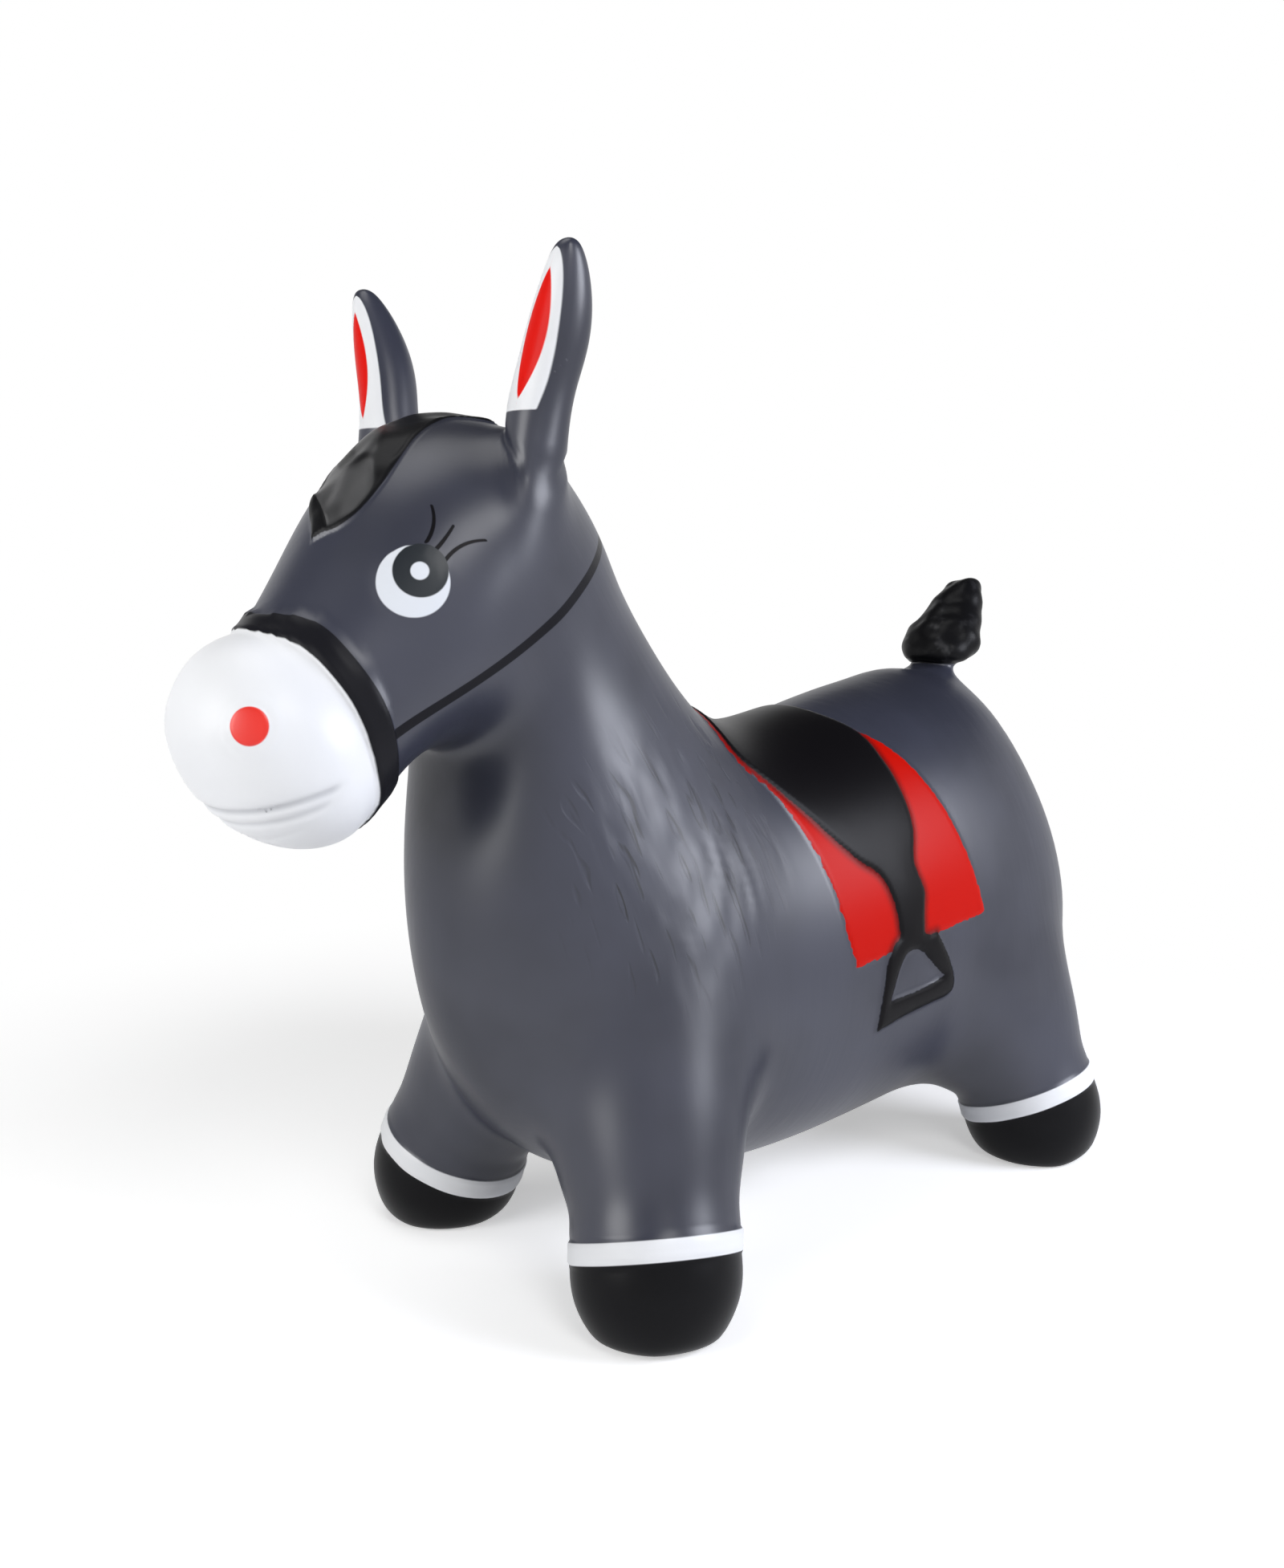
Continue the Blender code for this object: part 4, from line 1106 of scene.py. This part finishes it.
# The painted sheen on the forelock grows towards this side, between these distances
LOCK_SIDE = Vector((-0.67, -0.74, 0.0))
LOCK_FADE = (0.061, 0.068)
LOCK_RIM = (0.0008, 0.0045)
LOCK_PATCH_SCALE = 42.0
LOCK_PATCH_STRETCH = (1.0, 1.5, 0.8)
LOCK_PATCH_EDGE = (0.30, 0.58)
TAIL_PATCH_SCALE = 90.0
TAIL_PATCH_EDGE = (0.50, 0.75)
WHITE = (0.83, 0.84, 0.86, 1.0)
EYE_WHITE = (0.74, 0.77, 0.82, 1.0)
PUPIL = (0.018, 0.022, 0.027, 1.0)
# Painted shade in the mouth's folds: its grey, and the shares of the deepest fold's depth over which it
# grows
FOLD_SHADE = (0.42, 0.43, 0.46, 1.0)
LIP_SHADE_EDGE = (0.25, 1.6)
CLOUD_SCALE = 9.0
CLOUD_EDGE = (0.3, 0.7)
# Sprayed edges: their blur, how far the spray drifts, and how ragged and how strong it is
BLUR = 0.0004
SPRAY = 0.0012
MIST_REACH = (-5.0 * SPRAY, 0.5 * SPRAY)
BARE_REACH = (-4.0 * SPRAY, 0.0)
RAGGED_SCALE = 240.0
RAGGED_CLOTH = 4.0
RAGGED_SADDLE = 0.3
SADDLE_MIST = 0.75
TUFT_BLUR = 0.08


# %% [markdown]
# The eye on the toy is stencilled: a white disc, a dark one with a glint, and three lashes. It
# could be a picture laid on the skin. It is drawn here as distances on the eye's own plane, so its
# edges stay sharp however near one looks.

# %% The eye and its lashes
# The eye fades out on skin that lies this far behind its plane, as on the other side of the head
EYE_DEPTH = (-2.0 * EYE_RADIUS, -1.5 * EYE_RADIUS)
PUPIL_PLACE = (0.0034, 0.0051)
PUPIL_RADIUS = 0.0127
GLINT_PLACE = (0.0032, 0.0047)
GLINT_RADIUS = 0.0042
# Each lash on the eye's plane, right and up from the eye's middle: root, tip and how far it bows
LASHES = (((0.0059, 0.0190), (0.0071, 0.0368), -0.0020),
          ((0.0100, 0.0152), (0.0174, 0.0270), -0.0004),
          ((0.0147, 0.0108), (0.0319, 0.0214), 0.0024))
LASH_WIDTHS = (0.0021, 0.0014)


def stroke(across, up, root, tip, bow, first, last):
    """How far inside a bowed, tapered stroke a point of the eye's plane lies."""
    reach = Vector(tip) - Vector(root)
    ahead = reach.normalized()
    off_x, off_y = across - root[0], up - root[1]
    along = off_x * ahead.x + off_y * ahead.y
    share = along / reach.length
    beside = off_y * ahead.x - off_x * ahead.y - share * (1.0 - share) * (4.0 * bow)
    beyond = (along - reach.length).most(-along).most(0.0)
    distance = (beside * beside + beyond * beyond) ** 0.5
    return share.most(0.0).least(1.0) * ((last - first) / 2.0) + first / 2.0 - distance


def disc(across, up, place, radius):
    off_x, off_y = across - place[0], up - place[1]
    return radius - (off_x * off_x + off_y * off_y) ** 0.5


def paint_eye(colour, place):
    """Lay the eye over a colour. Both sides share it, because x is taken without its sign."""
    x, y, z = place.parts()
    mirrored = place.node("CombineXYZ", (), {0: abs(x), 1: y, 2: z})
    away = mirrored.minus(EYE_PLACE)
    sideways = EYE_FACING.cross(Vector((0.0, 0.0, -1.0))).normalized()
    across, up = away.dot(sideways), away.dot(EYE_FACING.cross(sideways))
    here = away.dot(EYE_FACING).smooth(*EYE_DEPTH)
    first, *others = [stroke(across, up, *lash, *LASH_WIDTHS) for lash in LASHES]
    lashes = first.most(others[0]).most(others[1])
    layers = ((lashes, BLACK), (disc(across, up, (0.0, 0.0), EYE_RADIUS), EYE_WHITE),
              (disc(across, up, PUPIL_PLACE, PUPIL_RADIUS), PUPIL),
              (disc(across, up, GLINT_PLACE, GLINT_RADIUS), EYE_WHITE))
    for inside, shade in layers:
        colour = (inside.smooth(-BLUR, BLUR) * here).mix(colour, shade)
    return colour


# %% [markdown]
# Vinyl that is soft when it leaves the mould keeps fine streaks. They could be sculpted, but they
# are finer than the skin's faces, so a bump does it, drawn out along circles round a point before
# the chest.

# %% Wrinkles of the soft skin
STREAK_SCALE = 150.0
STREAK_STRETCH = (1.0, 0.09, 0.5)
STREAK_HEIGHT = 0.00055
STREAK_NEAR = 0.60
STREAK_FAR = 0.40
STREAK_FADE_SHARES = (0.25, 0.95)
GROOVE_SCALE = 160.0
GROOVE_STRETCH = (1.0, 0.13, 0.6)
GROOVE_EDGE = (0.56, 0.70)
GROOVE_DEPTH = 0.00320
GRAIN_SCALE = 900.0
GRAIN_HEIGHT = 0.00003


def wrinkles(place, mark):
    """Streaks and short grooves that swing round a point before the chest, and a faint grain."""
    x, y, z = place.parts()
    off_y, off_z = y - STREAK_PIVOT[0], z - STREAK_PIVOT[1]
    out = (off_y * off_y + off_z * off_z) ** 0.5
    turn = off_z.math("ARCTAN2", off_z, off_y) * STREAK_ARM
    flow = place.node("CombineXYZ", (), {0: out, 1: turn, 2: x})
    near_y, near_z = y - crease_centre[0], z - crease_centre[1]
    near = 1.0 - ((near_y * near_y + near_z * near_z) ** 0.5).smooth(
        *(share * CREASE_REACH for share in STREAK_FADE_SHARES))
    painted = mark["saddle"].most(mark["cloth"]).most(mark["muzzle"]).most(mark["hoof"])
    bare = 1.0 - painted.smooth(*BARE_REACH)
    grooves = flow.grain(GROOVE_SCALE, detail=1.0, stretch=GROOVE_STRETCH).smooth(*GROOVE_EDGE)
    streaks = flow.grain(STREAK_SCALE, stretch=STREAK_STRETCH) * (near * STREAK_NEAR + STREAK_FAR)
    grain = place.grain(GRAIN_SCALE)
    return (streaks * STREAK_HEIGHT - grooves * near * GROOVE_DEPTH) * bare + grain * GRAIN_HEIGHT


# %% [markdown]
# The last step puts the paints over one another and lets the vinyl shine more than the paint. Most
# marks are distances, so a narrow step across zero is a paint's edge.

# %% The skin's material
# Bare vinyl shines under a clear coat, and most of the paint is duller. The green in the colour
# tells them apart
COAT = 0.225
COAT_ON_BLACK = 0.018
COATED_GREEN = (0.010, 0.034)
PALE_GREEN = (0.20, 0.60)
COAT_LOST_ON_WHITE = 0.135
COAT_ROUGHNESS = 0.34
COAT_IOR = 2.5
PAINT_SPECULAR = 0.06
GLOSS_SCALE = 16.0
ROUGHNESS = (0.30, 0.10)


def painted_vinyl():
    made, start, shader = new_material("painted_vinyl", GREY[:3])
    mark = {name: attribute(start, name) for name in marks}
    place = attribute(start, "place", "Vector")
    cloudy = place.grain(CLOUD_SCALE, detail=3.0)
    ragged = (place.grain(RAGGED_SCALE, detail=4.0) - 0.5) * (RAGGED_CLOTH * SPRAY)

    mist = mark["saddle"].smooth(*MIST_REACH) * SADDLE_MIST
    red = mist.mix(RED, BLACK)
    # Painted sheen: paler patches inside the forelock, clear of its dark rim and of the strand
    sheen_patches = place.grain(LOCK_PATCH_SCALE, detail=1.0, stretch=LOCK_PATCH_STRETCH)
    inner = mark["forelock"].smooth(*LOCK_RIM) * (1.0 - mark["strand"].smooth(-BLUR, BLUR))
    folds = sheen_patches.smooth(*LOCK_PATCH_EDGE) * inner * place.dot(LOCK_SIDE).smooth(*LOCK_FADE)
    hair = folds.mix(LOCK_DARK, LOCK_SHEEN)
    # Painted shade: the muzzle's white turns grey in the mouth's folds, most where they are deepest
    fold = (mark["mouth"] / MOUTH_FOLDS[0][3]).smooth(*LIP_SHADE_EDGE)
    shaded_lips = fold.mix(WHITE, FOLD_SHADE)
    tail = place.grain(TAIL_PATCH_SCALE).smooth(*TAIL_PATCH_EDGE).mix(LOCK_DARK, TAIL_LIGHT)

    colour = cloudy.smooth(*CLOUD_EDGE).mix(GREY, GREY_LIGHT)
    layers = ((mark["cloth"] + ragged, red), (mark["saddle"] + ragged * RAGGED_SADDLE, BLACK),
              (mark["strap"], STRAP_BLACK), (mark["muzzle"], shaded_lips),
              (mark["noseband"], NOSEBAND_BLACK), (mark["nostril"], NOSTRIL_RED),
              (mark["band"], WHITE), (mark["hoof"], HOOF_BLACK), (mark["lining"], WHITE),
              (mark["leaf"], EAR_RED), (mark["forelock"], hair))
    for inside, shade in layers:
        colour = inside.smooth(-BLUR, BLUR).mix(colour, shade)
    colour = (mark["tuft"] - 0.5).smooth(-TUFT_BLUR, TUFT_BLUR).mix(colour, tail)
    colour = paint_eye(colour, place)
    shader_in = shader.inputs
    start.tree.links.new(colour.socket, shader_in["Base Color"])

    glossy = place.grain(GLOSS_SCALE)
    start.tree.links.new((glossy * ROUGHNESS[1] + ROUGHNESS[0]).socket, shader_in["Roughness"])
    green = start.node("SeparateColor", (), {0: colour}, 1)
    coat = green.smooth(*COATED_GREEN) * (COAT - COAT_ON_BLACK) + COAT_ON_BLACK
    coat = coat - green.smooth(*PALE_GREEN) * COAT_LOST_ON_WHITE
    start.tree.links.new(coat.socket, shader_in["Coat Weight"])
    shader_in["Coat Roughness"].default_value = COAT_ROUGHNESS
    shader_in["Coat IOR"].default_value = COAT_IOR
    shader_in["Specular IOR Level"].default_value = PAINT_SPECULAR

    bump = start.node("Bump", (), {"Strength": 1.0, "Distance": 1.0, "Height": wrinkles(place, mark)})
    start.tree.links.new(bump.socket, shader_in["Normal"])
    return made


skin.data.materials.append(painted_vinyl())
print("nodes in the skin's material", len(skin.data.materials[0].node_tree.nodes))

# %% [markdown]
# ## The air valve
# The push-in valve under the belly stays as the working solids have it: a soft grey seat and a
# white plug.

# %% Valve materials
# Each piece of the valve, its material, its colour and its roughness
VALVE_FINISHES = (("valve_seat", "soft_seat", (0.55, 0.56, 0.56), 0.5),
                  ("valve_plug", "hard_plug", (0.80, 0.81, 0.82), 0.3))

for piece, name, colour, roughness in VALVE_FINISHES:
    made, start, shader = new_material(name, colour)
    shader.inputs["Base Color"].default_value = (*colour, 1.0)
    shader.inputs["Roughness"].default_value = roughness
    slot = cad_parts[piece].material_slots[0]
    slot.link = "OBJECT"
    slot.material = made
    print("material of", piece, made.name)

# %% [markdown]
# ## Into the frame
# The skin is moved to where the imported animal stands, which the valve's place gives. It stands for
# every solid but the valve. It follows the hooves at its foot and the trunk above, and bends in
# between, so that the legs and the belly squash when the animal bounces.

# %% Place and bind
SQUASH_FROM = 0.03
SQUASH_TO = 0.25

front_hooves = sum(corner.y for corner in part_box("valve_seat")) / 2.0 - VALVE_SHARE * BODY_LENGTH
work_on(skin, "OBJECT")
skin.location.y = front_hooves
bpy.ops.object.transform_apply(location=True, rotation=False, scale=False)
bpy.ops.object.shade_smooth()
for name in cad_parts:
    if name not in [finish[0] for finish in VALVE_FINISHES]:
        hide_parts(name)
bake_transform(skin, "feet", "trunk", start=(0.0, 0.0, SQUASH_FROM), end=(0.0, 0.0, SQUASH_TO))
print("front hooves at", round(front_hooves, 4))

# %% [markdown]
# ## Studio
# The photograph shows the toy on plain white, from its left front, a little above its own middle.
# The camera's place and lens were worked out from the hooves, the ears and the muzzle.

# %% Camera
FRAME_HEIGHT_PX = 1954.0
FOCAL_PX = 1810.0
SENSOR = 36.0
NEAR_CLIP = 0.01
CAMERA_PLACE = Vector((0.6266, -0.4830, 0.4062))
CAMERA_YAW = 47.87
CAMERA_PITCH = 8.94

bpy.ops.object.camera_add(location=CAMERA_PLACE + Vector((0.0, front_hooves, 0.0)),
                          rotation=(math.radians(90.0 - CAMERA_PITCH), 0.0, math.radians(CAMERA_YAW)))
camera = bpy.context.object
camera.data.sensor_width = SENSOR
camera.data.lens = FOCAL_PX / FRAME_HEIGHT_PX * SENSOR
camera.data.clip_start = NEAR_CLIP
bpy.context.scene.camera = camera
print("lens", round(camera.data.lens, 2), "mm")


# %% [markdown]
# The photograph's ground is pure white. A white plane alone would turn grey away from the lamps, so
# the paper glows a little and fades to plain white. The ceiling is darker than the ground, or the
# back and the brow would mirror white.

# %% Floor and lamps
COOL = (0.95, 0.98, 1.08)
PLAIN = (1.0, 1.0, 1.0)
# Each lamp's name, place, size, power and colour. The key makes the sheen on the shoulder, the
# others light the front, the face and the back
LAMPS = (("key", (1.17, 0.67, 0.74), 0.80, 16.5, COOL),
         ("front", (1.10, -0.50, 1.20), 0.60, 5.5, PLAIN),
         ("side", (-0.10, -1.35, 0.62), 0.80, 9.0, PLAIN),
         ("top", (-0.25, -0.35, 1.6), 0.90, 5.2, PLAIN))
LAMP_AIM = Vector((0.0, 0.0, 0.25))
WORLD_LIGHT = 0.06
CEILING_LIGHT = 0.08
CEILING_FROM = 0.35
CEILING_TO = 0.52
FLOOR_GLOW = 0.46
FLOOR_COLOUR = (0.93, 0.93, 0.93, 1.0)
FLOOR_ROUGHNESS = 0.9
FLOOR_SIZE = 40.0
FADE_FROM = 0.36
FADE_TO = 0.80


def seen_rays(start):
    """1 for what the camera sees, also in reflections and through glass, and 0 for light."""
    path = start.node("LightPath").socket.node.outputs
    camera_ray, glossy, through = (Wire(start.tree, path[name]) for name in
                                   ("Is Camera Ray", "Is Glossy Ray", "Is Transmission Ray"))
    return camera_ray.most(glossy).most(through)


def floor_paper():
    """Pale paper under the toy, which fades to plain white away from it."""
    made, start, shader = new_material("floor_paper", FLOOR_COLOUR[:3])
    shader.inputs["Base Color"].default_value = FLOOR_COLOUR
    shader.inputs["Roughness"].default_value = FLOOR_ROUGHNESS
    shader.inputs["Specular IOR Level"].default_value = 0.0
    seen = seen_rays(start)
    glow = start.node("Emission", (), {"Strength": seen * FLOOR_GLOW})
    paper = start.node("AddShader", (), {0: Wire(start.tree, shader.outputs[0]), 1: glow})
    far = start.node("NewGeometry").length().smooth(FADE_FROM, FADE_TO)
    faded = start.node("MixShader", (), {0: far * seen, 1: paper, 2: start.node("Emission")})
    start.tree.links.new(faded.socket, start.tree.nodes["Material Output"].inputs["Surface"])
    return made


bpy.ops.mesh.primitive_plane_add(size=FLOOR_SIZE)
floor = bpy.context.object
floor.name = "floor"
floor.data.materials.append(floor_paper())

for name, place, size, power, colour in LAMPS:
    bpy.ops.object.light_add(type="AREA", location=place)
    made = bpy.context.object
    made.name = name
    made.data.shape = "DISK"
    made.data.size = size
    made.data.energy = power
    made.data.color = colour
    made.rotation_euler = (Vector(place) - LAMP_AIM).to_track_quat("Z", "Y").to_euler()

world = bpy.data.worlds.new("studio")
bpy.context.scene.world = world
world.use_nodes = True
background = world.node_tree.nodes["Background"]
backdrop = Wire(world.node_tree)
height = backdrop.node("TexCoord").parts()[2]
shown = 1.0 - height.smooth(CEILING_FROM, CEILING_TO) * (1.0 - CEILING_LIGHT)
level = seen_rays(backdrop) * (shown - WORLD_LIGHT) + WORLD_LIGHT
world.node_tree.links.new(level.socket, background.inputs["Strength"])
background.inputs["Color"].default_value = (1.0, 1.0, 1.0, 1.0)
bpy.context.scene.view_settings.view_transform = "Standard"
print("lamps", [row[0] for row in LAMPS])

# %% Update the scene
bpy.context.view_layer.update()
